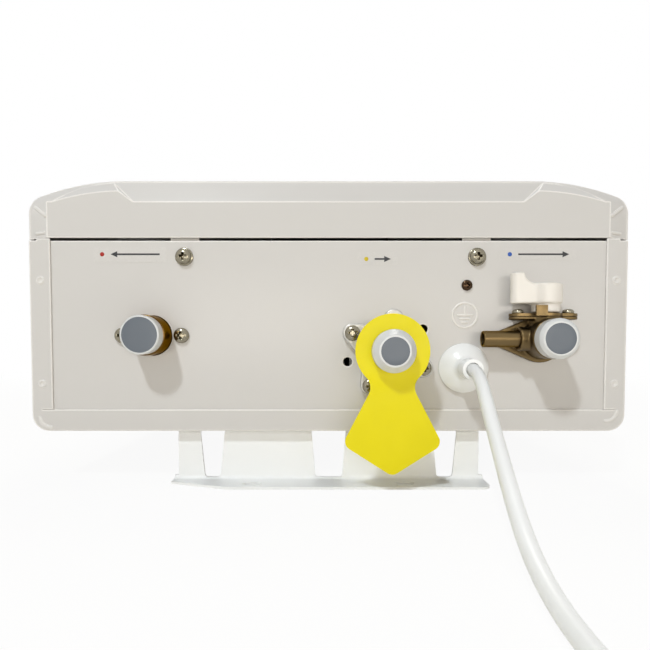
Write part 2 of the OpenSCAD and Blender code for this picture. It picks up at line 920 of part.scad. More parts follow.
// An upright window between two legs, wider at the top, with round lower corners
module leg_window(x, low_w, top_w) {
    r = 2.2;
    low = bracket_t + 0.8;
    high = wall_gap + over;
    translate([x, 0]) {
        polygon([
            [-low_w / 2, low + r], [low_w / 2, low + r], [top_w / 2, high], [-top_w / 2, high]
        ]);
        translate([-low_w / 2 + r, low]) square([low_w - 2 * r, r + eps]);
        for (s = [-1, 1]) {
            translate([s * (low_w / 2 - r), low + r]) circle(r);
        }
    }
}

module wall_bracket() {
    foot_r = 6;
    front = web_in - bend_r - foot_d;
    difference() {
        intersection() {
            translate([-foot_w / 2, 0, 0]) rotate([90, 0, 90]) linear_extrude(foot_w) bracket_section();
            union() {
                // the foot, with its rounded ends and one clipped corner
                slab_z(-over, bend_r + bracket_t) difference() {
                    translate([0, front + foot_d / 2 + 5]) rounded(foot_w, foot_d + 10, foot_r);
                    polygon([
                        [-foot_w / 2 - over, front - over], [-foot_w / 2 + foot_clip[0], front - over],
                        [-foot_w / 2 + foot_clip[0], front], [-foot_w / 2 - over, front + foot_clip[1]]
                    ]);
                }
                box(-bracket_w / 2, bracket_w / 2, front, web_in + bracket_top_d + 10,
                    bend_r + bracket_t - eps, wall_gap + over);
            }
        }
        slab_y(web_in - bend_r, web_in + bracket_t + bend_r) {
            for (w = leg_windows) {
                leg_window(w[0], w[1], w[2]);
            }
        }
        for (s = [-1, 1]) {
            translate([s * slot_spacing / 2, web_in - bend_r - bracket_slot_y, 0]) {
                slab_z(-over, bracket_t + over) rounded(slot_l, slot_w, slot_w / 2 - eps);
            }
        }
    }
}

module wall_bracket_lower() {
    color("gainsboro") framed() wall_bracket();
}

module wall_bracket_upper() {
    color("gainsboro") framed() other_end() wall_bracket();
}

// Hot outlet

module hot_outlet() {
    color("goldenrod") framed() on_panel(hot_x, hot_z) difference() {
        union() {
            translate([0, 0, -panel_t - eps]) cylinder(h = panel_t + hot_collar_h + eps, r = hot_collar_r);
            cylinder(h = hot_end, r = thread_r);
            translate([0, 0, -panel_t - flange_depth]) cylinder(h = flange_depth, r = 15);
            translate([0, 0, -panel_t - flange_depth]) linear_extrude(flange_depth) {
                rounded(2 * hot_screw_x + 11, 11, 5.5 - eps);
            }
            translate([0, 0, -panel_t - inner_spigot]) cylinder(h = inner_spigot, r = pipe_r + 2);
        }
        drill(pipe_bore_r - pipe_t, -panel_t - inner_spigot, hot_end);
        translate([0, 0, -panel_t - inner_spigot - over]) cylinder(h = pipe_socket + over, r = pipe_r);
        for (s = [-1, 1]) {
            translate([s * hot_screw_x, 0, 0]) drill(screw_shank_r, -panel_t - flange_depth, -panel_t);
        }
    }
}

module hot_outlet_screws() {
    color("silver") framed() {
        for (s = [-1, 1]) {
            on_panel(hot_x + s * hot_screw_x, hot_z) {
                pan_screw(screw_head_r, screw_head_h, screw_shank_r, panel_t + flange_depth);
            }
        }
    }
}

// A push-on cap over a pipe end, on its own Z, its nose chamfered by chamfer
module push_cap(low, high, chamfer) {
    difference() {
        rotate_extrude() polygon([
            [0, low], [cap_r, low], [cap_r, high - chamfer], [cap_r - chamfer, high], [0, high]
        ]);
        translate([0, 0, low - over]) cylinder(h = high - low - cap_wall - chamfer / 2 + over,
            r = thread_r + cap_play);
    }
}

module hot_dust_cap() {
    color("white", 0.8) framed() on_panel(hot_x, hot_z) {
        push_cap(hot_collar_h + cap_gap, hot_end + cap_wall + 0.4, 0.4);
    }
}

// Gas inlet

module gas_inlet() {
    in_l = gas_valve_y - face_y + gas_socket;
    color("darkgray") framed() on_panel(gas_x, gas_z) difference() {
        union() {
            linear_extrude(gas_flange_t) {
                for (p = concat([gas_lug], [for (a = gas_lobes) gas_lobe_d * [cos(a), sin(a)]])) {
                    hull() {
                        circle(gas_flange_r - gas_step, $fn = 40);
                        translate(p) circle(gas_lobe_r, $fn = 32);
                    }
                }
            }
            cylinder(h = gas_flange_t + gas_step, r = gas_flange_r);
            cylinder(h = gas_collar_h, r = gas_collar_r);
            translate([0, 0, -in_l]) cylinder(h = gas_end + in_l, r = thread_r);
        }
        drill(pipe_bore_r, -in_l, gas_end);
        for (a = gas_lobes) {
            translate(gas_lobe_d * [cos(a), sin(a)]) drill(screw_shank_r + fit_gap, 0, gas_flange_t);
        }
    }
}

module gas_inlet_screws() {
    color("silver") framed() {
        for (a = gas_lobes) {
            on_panel(gas_x + gas_lobe_d * cos(a), gas_z + gas_lobe_d * sin(a), face_y - gas_flange_t) {
                pan_screw(screw_head_r, screw_head_h, screw_shank_r, gas_flange_t + panel_t + screw_past);
            }
        }
    }
}

module gas_dust_cap() {
    straight = gas_thread_l - 1;
    color("white", 0.8) framed() on_panel(gas_x, gas_z) difference() {
        rotate_extrude() polygon([
            [0, gas_cap_at], [gas_cap_r, gas_cap_at], [gas_cap_r, gas_cap_at + straight],
            [gas_cap_nose_r, gas_reach], [0, gas_reach]
        ]);
        translate([0, 0, gas_cap_at - over]) {
            cylinder(h = gas_end + 0.4 - gas_cap_at + over, r = thread_r + cap_play);
        }
    }
}

module gas_tag() {
    r = tag_corner_r;
    hollow = [tag_hollow_x, -tag_hollow_drop];
    top = hollow * tag_head_r / (tag_head_r + tag_hollow_r);
    low = hollow - tag_hollow_r * [cos(tag_flare), sin(tag_flare)];
    color("gold") framed() on_panel(gas_x, gas_z) translate([0, 0, tag_h]) difference() {
        linear_extrude(tag_t) {
            circle(tag_head_r);
            difference() {
                polygon([[-top[0], top[1]], top, low, [-low[0], low[1]]]);
                for (s = [-1, 1]) {
                    translate([s * hollow[0], hollow[1]]) circle(tag_hollow_r);
                }
            }
            hull() {
                translate([-low[0], low[1]]) square([2 * low[0], eps]);
                for (s = [-1, 1]) {
                    translate([s * (tag_wide - r), -tag_wide_drop]) circle(r, $fn = 32);
                }
                translate([0, -tag_l + r]) circle(r, $fn = 32);
            }
        }
        drill(thread_r + tag_play, 0, tag_t);
    }
}

// Cold inlet valve

module at_knob() {
    translate([cold_x, face_y - knob_out, 0]) children();
}

module bonnet_shape() {
    translate([bonnet_shift, 0]) {
        rounded(2 * (bonnet_screw_x + bonnet_end_r), 2 * bonnet_end_r, bonnet_end_r - eps);
    }
    circle(bonnet_half_y);
}

module cold_valve_body() {
    color("goldenrod") framed() difference() {
        union() {
            on_panel(cold_x, cold_z) {
                linear_extrude(cold_flange_t) {
                    hull() {
                        circle(cold_flange_r, $fn = 48);
                        for (x = cold_screws) {
                            translate([x, 0]) circle(cold_ear_r, $fn = 32);
                        }
                    }
                }
                cylinder(h = barrel_h, r = barrel_r);
                translate([0, 0, -panel_t - inner_spigot]) {
                    cylinder(h = cold_end + panel_t + inner_spigot, r = thread_r);
                }
            }
            at_knob() {
                slab_z(cold_z, bonnet_z) circle(neck_r);
                slab_z(bonnet_z - bonnet_seat_t, bonnet_z) bonnet_shape();
                translate([0, 0, cold_z]) rod_x(drain_r + drain_boss_t, -drain_boss_reach, 0);
            }
        }
        on_panel(cold_x, cold_z) drill(pipe_bore_r, -panel_t - inner_spigot, cold_end);
        at_knob() {
            slab_z(cold_z, bonnet_z + over) circle(valve_bore_r);
            for (s = [-1, 1]) {
                translate([bonnet_shift + s * bonnet_screw_x, 0, 0]) {
                    drill(bonnet_shank_r, bonnet_z - bonnet_seat_t, bonnet_z);
                }
            }
            translate([0, 0, cold_z]) {
                rod_x(drain_r, -drain_boss_reach - over, -drain_boss_reach + drain_socket);
                rod_x(drain_way_r, -drain_boss_reach - over, 0);
            }
        }
        for (x = cold_screws) {
            on_panel(cold_x + x, cold_z) {
                drill(screw_shank_r + fit_gap, 0, cold_flange_t);
                translate([0, 0, cold_flange_t - sunk_head_h]) {
                    cylinder(h = sunk_head_h + eps, r1 = screw_shank_r + fit_gap, r2 = sunk_head_r + fit_gap);
                }
            }
        }
    }
}

// Countersunk, because the drain tube passes close over one of them
module cold_valve_screws() {
    shank = cold_flange_t + panel_t + screw_past;
    color("silver") framed() {
        for (x = cold_screws) {
            on_panel(cold_x + x, cold_z, face_y - cold_flange_t) rotate_extrude() polygon([
                [0, -shank], [screw_shank_r, -shank], [screw_shank_r, -sunk_head_h], [sunk_head_r, 0], [0, 0]
            ]);
        }
    }
}

module valve_bonnet() {
    keep = 2 * bonnet_screw_x;
    color("darkkhaki") framed() at_knob() difference() {
        union() {
            slab_z(bonnet_z, bonnet_top) intersection() {
                bonnet_shape();
                translate([-keep, -keep]) square([2 * keep, keep + bonnet_back]);
            }
            box(lug_x[0], lug_x[1], -skirt_r - 0.4 - lug_t, -skirt_r - 0.4, bonnet_z + eps, bonnet_top + lug_h);
            slab_z(bonnet_z - bonnet_spigot, bonnet_z + eps) circle(valve_bore_r - fit_gap);
        }
        drill(stem_r + stem_play, bonnet_z - bonnet_spigot, bonnet_top);
        for (s = [-1, 1]) {
            translate([bonnet_shift + s * bonnet_screw_x, 0, 0]) {
                drill(bonnet_shank_r + fit_gap, bonnet_z, bonnet_top);
            }
        }
    }
}

module bonnet_screws() {
    color("silver") framed() at_knob() {
        for (s = [-1, 1]) {
            translate([bonnet_shift + s * bonnet_screw_x, 0, bonnet_top]) {
                pan_screw(bonnet_head_r, bonnet_head_h, bonnet_shank_r, bonnet_t + bonnet_seat_t);
            }
        }
    }
}

module valve_stem() {
    color("goldenrod") framed() at_knob() {
        slab_z(stem_foot_z, stem_foot_z + stem_foot_h) circle(valve_bore_r - 0.5);
        slab_z(stem_foot_z + stem_foot_h - eps, stem_top) circle(stem_r);
    }
}

module valve_knob() {
    tip = pointer_r - pointer_reach;
    color("ivory") framed() at_knob() difference() {
        union() {
            slab_z(knob_z, hub_z + eps) circle(skirt_r);
            intersection() {
                slab_z(hub_z, hub_z + pointer_h) {
                    circle(hub_r);
                    translate([tip, 0]) circle(pointer_r);
                    polygon([
                        [tip, -pointer_r], [tip / 2, -pointer_waist], [0, -hub_r],
                        [0, hub_r], [tip / 2, pointer_waist], [tip, pointer_r]
                    ]);
                }
                // side view: tall pointer, a round dip, then the flat hub
                slab_y(-hub_r - over, hub_r + over) translate([0, hub_z]) difference() {
                    translate([-pointer_reach - over, 0]) square([pointer_reach + hub_r + 2 * over, pointer_h]);
                    translate([-dip_r, hub_h + dip_r]) circle(dip_r);
                    translate([-dip_r, hub_h]) square([dip_r + hub_r + 2 * over, pointer_h]);
                }
            }
        }
        translate([0, 0, knob_z - over]) cylinder(h = stem_top - knob_z + over, r = stem_r);
    }
}

module drain_tube() {
    color("goldenrod") framed() at_knob() translate([0, 0, cold_z]) difference() {
        rod_x(drain_r, -drain_reach, -drain_boss_reach + drain_socket);
        rod_x(drain_bore_r, -drain_reach - over, -drain_boss_reach + drain_socket + over);
    }
}

module cold_dust_cap() {
    color("white", 0.8) framed() on_panel(cold_x, cold_z) {
        push_cap(barrel_h + cap_gap, cold_end + cap_wall + 1.2, 1.8);
    }
}

// Mains cord

// Section of the gland: foot, shallow dome, round fillet, nose
module gland_section() {
    dome_r = (gland_r * gland_r + gland_dome_h * gland_dome_h) / (2 * gland_dome_h);
    dome_c = gland_foot_h + gland_dome_h - dome_r;
    fx = gland_nose_r + gland_fillet;
    fz = dome_c + sqrt(pow(dome_r + gland_fillet, 2) - fx * fx);
    k = dome_r / (dome_r + gland_fillet);
    square([gland_r, gland_foot_h]);
    intersection() {
        translate([0, dome_c]) circle(dome_r);
        translate([0, gland_foot_h - eps]) square([gland_r, gland_dome_h + over]);
    }
    difference() {
        polygon([[0, gland_foot_h], [fx * k, dome_c + (fz - dome_c) * k], [fx, fz], [0, fz]]);
        translate([fx, fz]) circle(gland_fillet);
    }
    square([gland_nose_r, gland_l]);
}

module cord_gland() {
    color("white") framed() on_panel(gland_x, gland_z) difference() {
        union() {
            rotate_extrude() gland_section();
            translate([0, 0, -panel_t - gland_neck_l]) {
                cylinder(h = panel_t + gland_neck_l + eps, r = gland_neck_r);
            }
        }
        translate([0, 0, gland_l - cord_socket]) cylinder(h = cord_socket + over, r = cord_d / 2 + cord_play);
    }
}

module gland_nut() {
    color("gray") framed() on_panel(gland_x, gland_z) translate([0, 0, -panel_t - 5]) difference() {
        cylinder(h = 5, r = gland_neck_r + 4, $fn = 6);
        drill(gland_neck_r, 0, 5);
    }
}

module power_cord() {
    color("white") swept(cord_route, cord_d / 2, cord_sides);
}

// Turns from the coil's start give the radius and height of the cord's middle
function loop_radius(n) = loop_r - loop_pitch * min(n, loop_turns - n);
function loop_rise(n) =
    n < layer_turns ? 0
    : n < layer_turns + climb_turn ? loop_lift * (1 - cos(180 * (n - layer_turns) / climb_turn)) / 2
    : loop_lift;
function loop_point(n) = [
    loop_mid[0] + loop_radius(n) * cos(-360 * n),
    loop_mid[1] + loop_radius(n) * sin(-360 * n),
    coil_floor + loop_rise(n)
];
loop_count = loop_turns * loop_steps;
loop_points = [for (i = [0 : loop_count]) loop_point(i / loop_steps)];
coil_route = concat(
    [loop_points[0] + [0, coil_lead, 0]], loop_points, [loop_points[loop_count] - [coil_lead, 0, 0]]
);
route_len = [for (i = 1, s = 0; i <= len(cord_route);
    s = i < len(cord_route) ? s + norm(cord_route[i] - cord_route[i - 1]) : s, i = i + 1) s];
coil_len = [for (i = 1, s = 0; i <= len(coil_route);
    s = i < len(coil_route) ? s + norm(coil_route[i] - coil_route[i - 1]) : s, i = i + 1) s];
loop_gap = min([
    for (i = [0 : loop_count])
        for (j = [i + loop_steps / 2 : 1 : loop_count])
            norm(loop_points[i] - loop_points[j])
]) - cord_d;

module cord_coil() {
    color("white") swept(coil_route, cord_d / 2, coil_sides);
}

module cord_tie() {
    inner = loop_radius(loop_turns / 2) - cord_d / 2 - tie_out;
    outer = loop_r + cord_d / 2 + tie_out;
    color("black") translate([loop_mid[0], loop_mid[1], 0]) difference() {
        box(-outer - tie_t, -inner + tie_t, -tie_w / 2, tie_w / 2, tie_z[0], tie_z[1] + tie_t);
        box(-outer, -inner, -tie_w, tie_w, tie_z[0] + 0.05, tie_z[1]);
    }
}

module plug_body() {
    color("white") translate([plug_x, plug_y, plug_z]) difference() {
        union() {
            rod_x(cord_d / 2 + 1.5, -relief_l, 0);
            translate([-relief_l + eps, 0, 0]) hull() {
                rotate([0, -90, 0]) linear_extrude(1) rounded(12, 14, 5);
                translate([-plug_l + 8, 0, 0]) rotate([0, -90, 0]) linear_extrude(1) rounded(20, 26, 6);
            }
            translate([-relief_l - plug_l, 0, 0]) rotate([0, 90, 0]) linear_extrude(8) rounded(20, 26, 6);
        }
        for (s = [-1, 1]) {
            translate([-relief_l - plug_l - over, s * blade_half - blade[2] / 2, -blade[1] / 2 + 2]) {
                cube([6 + over, blade[2], blade[1]]);
            }
        }
        translate([0, 0, -6]) rod_x(earth_pin_r, -relief_l - plug_l - over, -relief_l - plug_l + 6);
    }
}

module plug_blades() {
    color("silver") translate([plug_x - relief_l - plug_l, plug_y, plug_z]) {
        for (s = [-1, 1]) {
            translate([-blade[0], s * blade_half - blade[2] / 2, -blade[1] / 2 + 2]) {
                cube([blade[0] + 6, blade[2], blade[1]]);
            }
        }
        translate([0, 0, -6]) rod_x(earth_pin_r, -earth_pin_l, 6);
    }
}

// Water way

module flow_sensor_body() {
    color("dimgray") framed() on_top(cold_x, cold_z, sensor_y) difference() {
        union() {
            cylinder(h = sensor_l, r = sensor_r);
            translate([-9, -sensor_r - 5, 18]) cube([18, 8, 18]);
        }
        drill(sensor_bore, 0, sensor_l);
        translate([0, 0, -over]) cylinder(h = panel_in + inner_spigot - sensor_y + over, r = thread_r);
        translate([0, 0, sensor_l - pipe_socket]) cylinder(h = pipe_socket + over, r = pipe_r);
    }
}

module flow_guides() {
    gap = turbine_l / 2 + turbine_gap;
    color("white") framed() on_top(cold_x, cold_z, turbine_mid) {
        for (low = [-gap - guide_t, gap]) {
            translate([0, 0, low]) difference() {
                cylinder(h = guide_t, r = sensor_bore);
                drill(1 + shaft_play, 0, guide_t);
                for (a = [0 : 60 : 300]) {
                    rotate(a) translate([5.2, 0, 0]) drill(2, 0, guide_t);
                }
            }
        }
    }
}

module flow_rotor() {
    axle = turbine_l / 2 + turbine_gap + guide_t - 1;
    color("white") framed() on_top(cold_x, cold_z, turbine_mid) {
        translate([0, 0, -axle]) cylinder(h = 2 * axle, r = 1);
        translate([0, 0, -turbine_l / 2]) cylinder(h = turbine_l, r = 3);
        for (a = [0 : 60 : 300]) {
            rotate(a) translate([2, 0, 0]) rotate([25, 0, 0]) {
                translate([0, -0.5, -turbine_l / 2 + 2]) cube([turbine_r - 2.6, 1, turbine_l - 4]);
            }
        }
    }
}

module cold_pipe() {
    low = sensor_y + sensor_l - pipe_socket;
    step_y = coil_y - cold_step;
    color("chocolate") framed() pipe([
        [cold_x, low, cold_z], [cold_x, step_y, cold_z], [cold_x, step_y, coil_z0],
        [cold_x, coil_y, coil_z0], [coil_end_x, coil_y, coil_z0]
    ], pipe_r, pipe_t);
}

module hot_pipe() {
    side_x = hot_x - hot_side;
    top_z = coil_z0 + (coil_n - 1) * coil_pitch;
    low = panel_in + inner_spigot - pipe_socket;
    step_y = low + hot_step;
    color("chocolate") framed() pipe([
        [-coil_end_x, coil_y, top_z], [side_x, coil_y, top_z], [side_x, step_y, top_z],
        [side_x, step_y, hot_z], [hot_x, step_y, hot_z], [hot_x, low, hot_z]
    ], pipe_r, pipe_t);
}

// Burner, chamber and heat exchanger

module coil_holes(r, x0, x1) {
    for (i = [0 : coil_n - 1]) {
        translate([0, coil_y, coil_z0 + i * coil_pitch]) rod_x(r, x0, x1);
    }
}

module combustion_chamber() {
    w = chamber_w / 2;
    color("silver") framed() difference() {
        box(-w, w, chamber_y, hood_y, chamber_z, chamber_z + chamber_d);
        box(-w + chamber_t, w - chamber_t, chamber_y - over, hood_y + over,
            chamber_z + chamber_t, chamber_z + chamber_d - chamber_t);
        coil_holes(coil_r + 0.05, -w - over, w + over);
        for (x = electrode_x) {
            translate([x, chamber_y + electrode_up, chamber_z + chamber_d]) drill(electrode_r, -chamber_t, 0);
        }
    }
}

module heat_exchanger_fins() {
    color("peru") framed() difference() {
        for (i = [0 : fin_n - 1]) {
            x = (i - (fin_n - 1) / 2) * fin_pitch;
            box(x - fin_t / 2, x + fin_t / 2, coil_y - fin_h / 2, coil_y + fin_h / 2,
                chamber_z + chamber_t, chamber_z + chamber_d - chamber_t);
        }
        coil_holes(coil_r, -chamber_w / 2, chamber_w / 2);
    }
}

// Straight tubes through the fins and the half-round bends that join them into one way
module heat_exchanger_coil() {
    color("chocolate") framed() {
        for (i = [0 : coil_n - 1]) {
            translate([-coil_end_x, coil_y, coil_z0 + i * coil_pitch]) rotate([0, 90, 0]) {
                linear_extrude(2 * coil_end_x) tube_wall(coil_r, coil_t);
            }
        }
        for (i = [0 : coil_n - 2]) {
            s = i % 2 == 0 ? -1 : 1;
            translate([s * coil_end_x, coil_y, coil_z0 + (i + 0.5) * coil_pitch]) {
                rotate([90, 0, 0]) rotate([0, 0, -s * 90]) rotate_extrude(angle = 180) {
                    translate([coil_pitch / 2, 0]) tube_wall(coil_r, coil_t);
                }
            }
        }
    }
}

module burner_tray() {
    w = chamber_w / 2 - 2;
    z0 = chamber_z + 2;
    color("silver") framed() difference() {
        box(-w, w, burner_y, chamber_y, z0, burner_front);
        box(-w + chamber_t, w - chamber_t, burner_y + chamber_t, chamber_y + over,
            z0 + chamber_t, burner_front - chamber_t);
        box(fan_x + fan_outlet + 2, fan_x + fan_r - fan_mouth_in - 2,
            burner_y - over, burner_y + chamber_t + over, fan_z + 2, fan_front - 2);
        for (i = [0 : bar_n - 1]) {
            translate([(i - (bar_n - 1) / 2) * bar_pitch, manifold_y, burner_front]) drill(3.2, -chamber_t, 0);
        }
    }
}

module burner_bars() {
    y0 = burner_y + chamber_t;
    z0 = chamber_z + 2 + chamber_t + 3;
    color("lightgray") framed() slab_z(z0, burner_front - chamber_t - 6) {
        for (i = [0 : bar_n - 1]) {
            translate([(i - (bar_n - 1) / 2) * bar_pitch, y0]) {
                translate([-6, 0]) square([12, 3]);
                translate([-2, 2]) square([4, burner_h - 8]);
                translate([0, 14]) circle(5.5);
                translate([-5, burner_h - 12]) square([10, 8]);
            }
        }
    }
}

module gas_manifold() {
    w = bar_pitch * (bar_n - 1) / 2 + 8;
    color("darkgray") framed() difference() {
        box(-w, w, manifold_y - manifold_half, manifold_y + manifold_half,
            manifold_z - manifold_half, manifold_z + manifold_half);
        on_top(gas_x, manifold_z, manifold_y - manifold_half - over) {
            cylinder(h = riser_socket + over, r = pipe_r);
        }
    }
}

module gas_nozzles() {
    z1 = manifold_z - manifold_half;
    color("gold") framed() {
        for (i = [0 : bar_n - 1]) {
            translate([(i - (bar_n - 1) / 2) * bar_pitch, manifold_y, 0]) {
                difference() {
                    slab_z(burner_front - chamber_t - 3, z1) circle(3);
                    slab_z(burner_front - chamber_t - 4, z1 + over) circle(0.6);
                }
            }
        }
    }
}

module gas_valve() {
    y1 = gas_valve_y + gas_valve_h;
    color("silver") framed() difference() {
        union() {
            box(gas_x - gas_valve_w / 2, gas_x + gas_valve_w / 2, gas_valve_y, y1,
                gas_z - gas_valve_d / 2, gas_valve_front);
            on_top(gas_x, gas_z, y1 - eps) cylinder(h = gas_boss[1], r = gas_boss[0]);
        }
        on_top(gas_x, gas_z, gas_valve_y - over) cylinder(h = gas_socket + over, r = thread_r);
        on_top(gas_x, gas_z, gas_valve_y - over) cylinder(h = gas_valve_h, r = pipe_r - pipe_t);
        on_top(gas_x, gas_z, y1 - riser_socket) cylinder(h = riser_socket + gas_boss[1] + over, r = pipe_r);
    }
}

module gas_valve_coils() {
    color("darkslategray") framed() {
        for (p = gas_coil_places) {
            translate([gas_x + p[0], gas_valve_y + p[1], gas_valve_front]) {
                cylinder(h = gas_coil_l, r = p[2]);
                translate([0, 0, gas_coil_l - eps]) {
                    cylinder(h = gas_coil_nut[1] + eps, r = gas_coil_nut[0], $fn = 6);
                }
            }
        }
    }
}

module gas_riser() {
    low = gas_valve_y + gas_valve_h - riser_socket;
    bend_y = low + riser_rise;
    color("darkgray") framed() pipe([
        [gas_x, low, gas_z], [gas_x, bend_y, gas_z], [gas_x, bend_y, manifold_z],
        [gas_x, manifold_y - manifold_half + riser_socket, manifold_z]
    ], pipe_r, pipe_t);
}

module electrodes() {
    wall = chamber_z + chamber_d;
    color("ivory") framed() {
        for (x = electrode_x) {
            translate([x, chamber_y + electrode_up, wall]) {
                slab_z(-electrode_in, electrode_out) circle(electrode_r);
                slab_z(-electrode_in - electrode_tip[1], -electrode_in + eps) circle(electrode_tip[0]);
                slab_z(0, electrode_collar[1]) circle(electrode_collar[0]);
            }
        }
    }
}

module fan_housing() {
    x0 = fan_x + fan_outlet;
    x1 = fan_x + fan_r - fan_mouth_in;
    t = chamber_t;
    color("silver") framed() difference() {
        union() {
            translate([fan_x, fan_y, 0]) slab_z(fan_z, fan_front) circle(fan_r);
            box(x0, x1, fan_y, burner_y, fan_z, fan_front);
        }
        translate([fan_x, fan_y, 0]) slab_z(fan_z + t, fan_front - t) circle(fan_r - t);
        box(x0 + t, x1 - t, fan_y, burner_y + over, fan_z + t, fan_front - t);
        translate([fan_x, fan_y, 0]) slab_z(fan_z - over, fan_z + t + over) circle(fan_inlet_r);
        translate([fan_x, fan_y, 0]) slab_z(fan_front - t - over, fan_front + over) {
            circle(shaft_r + shaft_hole_gap);
        }
    }
}

module fan_motor() {
    color("dimgray") framed() translate([fan_x, fan_y, 0]) difference() {
        slab_z(fan_front, fan_front + motor_l) circle(motor_r);
        slab_z(fan_front - over, fan_front + motor_l - motor_end) circle(shaft_r + shaft_play);
    }
}

module fan_shaft() {
    color("silver") framed() translate([fan_x, fan_y, 0]) {
        slab_z(impeller_front - impeller_hub[1], fan_front + motor_l - motor_end - 1) circle(shaft_r);
    }
}

module fan_impeller() {
    inner = impeller_r - 9;
    color("gray") framed() translate([fan_x, fan_y, 0]) difference() {
        union() {
            slab_z(impeller_front - 1.2, impeller_front) circle(impeller_r);
            slab_z(impeller_front - impeller_hub[1], impeller_front) circle(impeller_hub[0]);
            slab_z(impeller_back, impeller_back + 1.2) difference() {
                circle(impeller_r);
                circle(inner);
            }
            slab_z(impeller_back + eps, impeller_front - eps) {
                for (i = [0 : blade_n - 1]) {
                    rotate(i * 360 / blade_n) translate([inner + 0.3, 0]) rotate(20) square([8.2, 0.9]);
                }
            }
        }
        slab_z(impeller_back - over, impeller_front + over) circle(shaft_r);
    }
}

// Flue

module flue_hood() {
    color("silver") framed() difference() {
        union() {
            hull() {
                box(-chamber_w / 2, chamber_w / 2, hood_y, hood_y + 4, chamber_z, chamber_z + chamber_d);
                on_top(0, chamber_mid_z, hood_neck_y - 1) cylinder(h = 1, r = flue_r + chamber_t);
            }
            on_top(0, chamber_mid_z, hood_neck_y - eps) {
                cylinder(h = top_in - hood_neck_y, r = flue_r + chamber_t);
            }
        }
        hull() {
            box(-chamber_w / 2 + chamber_t, chamber_w / 2 - chamber_t, hood_y - over, hood_y + 3,
                chamber_z + chamber_t, chamber_z + chamber_d - chamber_t);
            on_top(0, chamber_mid_z, hood_neck_y - 1) cylinder(h = 1.2, r = flue_r);
        }
        on_top(0, chamber_mid_z, hood_neck_y - eps) cylinder(h = top_in, r = flue_r);
    }
}

module flue_collar() {
    color("silver") framed() on_top(0, chamber_mid_z) difference() {
        union() {
            translate([0, 0, -panel_t - flue_in_l]) {
                cylinder(h = panel_t + flue_in_l + flue_l + sheet_t, r = flue_r);
            }
            translate([0, 0, gasket_t]) linear_extrude(flue_t) flue_flange();
        }
        drill(flue_r - flue_t, -panel_t - flue_in_l, flue_l + sheet_t);
        flue_screw_places() drill(screw_shank_r + fit_gap, gasket_t, gasket_t + flue_t);
    }
}

module flue_flange() {
    rounded(flue_flange_w, flue_flange_d, flue_screw_in);
}

module flue_screw_places() {
    for (sx = [-1, 1]) {
        for (sy = [-1, 1]) {
            translate([sx * (flue_flange_w / 2 - flue_screw_in), sy * (flue_flange_d / 2 - flue_screw_in), 0]) {
                children();
            }
        }
    }
}

module flue_gasket() {
    color("black") framed() on_top(0, chamber_mid_z) difference() {
        linear_extrude(gasket_t) flue_flange();
        drill(flue_r + hole_gap, 0, gasket_t);
        flue_screw_places() drill(screw_shank_r + fit_gap, 0, gasket_t);
    }
}

module flue_screws() {
    color("silver") framed() on_top(0, chamber_mid_z) flue_screw_places() {
        translate([0, 0, gasket_t + flue_t]) {
            pan_screw(screw_head_r, screw_head_h, screw_shank_r, gasket_t + flue_t + panel_t + screw_past);
        }
    }
}

// Electrics

module control_box() {
    t = control_t;
    color("darkgray") framed() difference() {
        box(side_in - control_w, side_in, control_y, control_y + control_h, control_z0, control_z0 + control_d);
        box(side_in - control_w - over, side_in - t, control_y + t, control_y + control_h - t,
            control_z0 + t, control_z0 + control_d - t);
    }
}

module control_board() {
    x1 = side_in - control_t;
    foot = x1 - board_lift;
    top = foot - board_t;
    edge = control_t + 1;
    color("darkgreen") framed() {
        box(top, foot, control_y + edge, control_y + control_h - edge,
            control_z0 + edge, control_z0 + control_d - edge);
        for (p = board_parts) {
            translate([top, control_y, control_z0]) box(-p[4], eps, p[0], p[1], p[2], p[3]);
        }
        for (y = [control_y + board_post[1], control_y + control_h - board_post[1]]) {
            for (z = [control_z0 + board_post[2], control_z0 + control_d - board_post[2]]) {
                translate([0, y, z]) rod_x(board_post[0], foot - eps, x1);
            }
        }
    }
}

module igniter() {
    y0 = chamber_y + igniter_up[0];
    y1 = y0 + igniter_size[1];
    z0 = back_in + igniter_up[1];
    color("black") framed() {
        box(-side_in, -side_in + igniter_size[0], y0, y1, z0, z0 + igniter_size[2]);
        for (k = [1, 2]) {
            on_top(-side_in + k * igniter_size[0] / 3, z0 + igniter_size[2] / 2, y1 - eps) {
                cylinder(h = igniter_pin[1], r = igniter_pin[0]);
            }
        }
    }
}

module chamber_rails() {
    w = chamber_w / 2 - 10;
    color("silver") framed() {
        for (y = [chamber_y + rail_w / 2, hood_y - 1.5 * rail_w]) {
            difference() {
                box(-w, w, y, y + rail_w, back_in, chamber_z);
                box(-w - over, w + over, y + rail_t, y + rail_w - rail_t, back_in - over, chamber_z - rail_t);
            }
        }
    }
}

echo(cord_length = route_len[len(route_len) - 1] + coil_len[len(coil_len) - 1]);
echo(coil_gap = loop_gap, frame_y = frame_y);

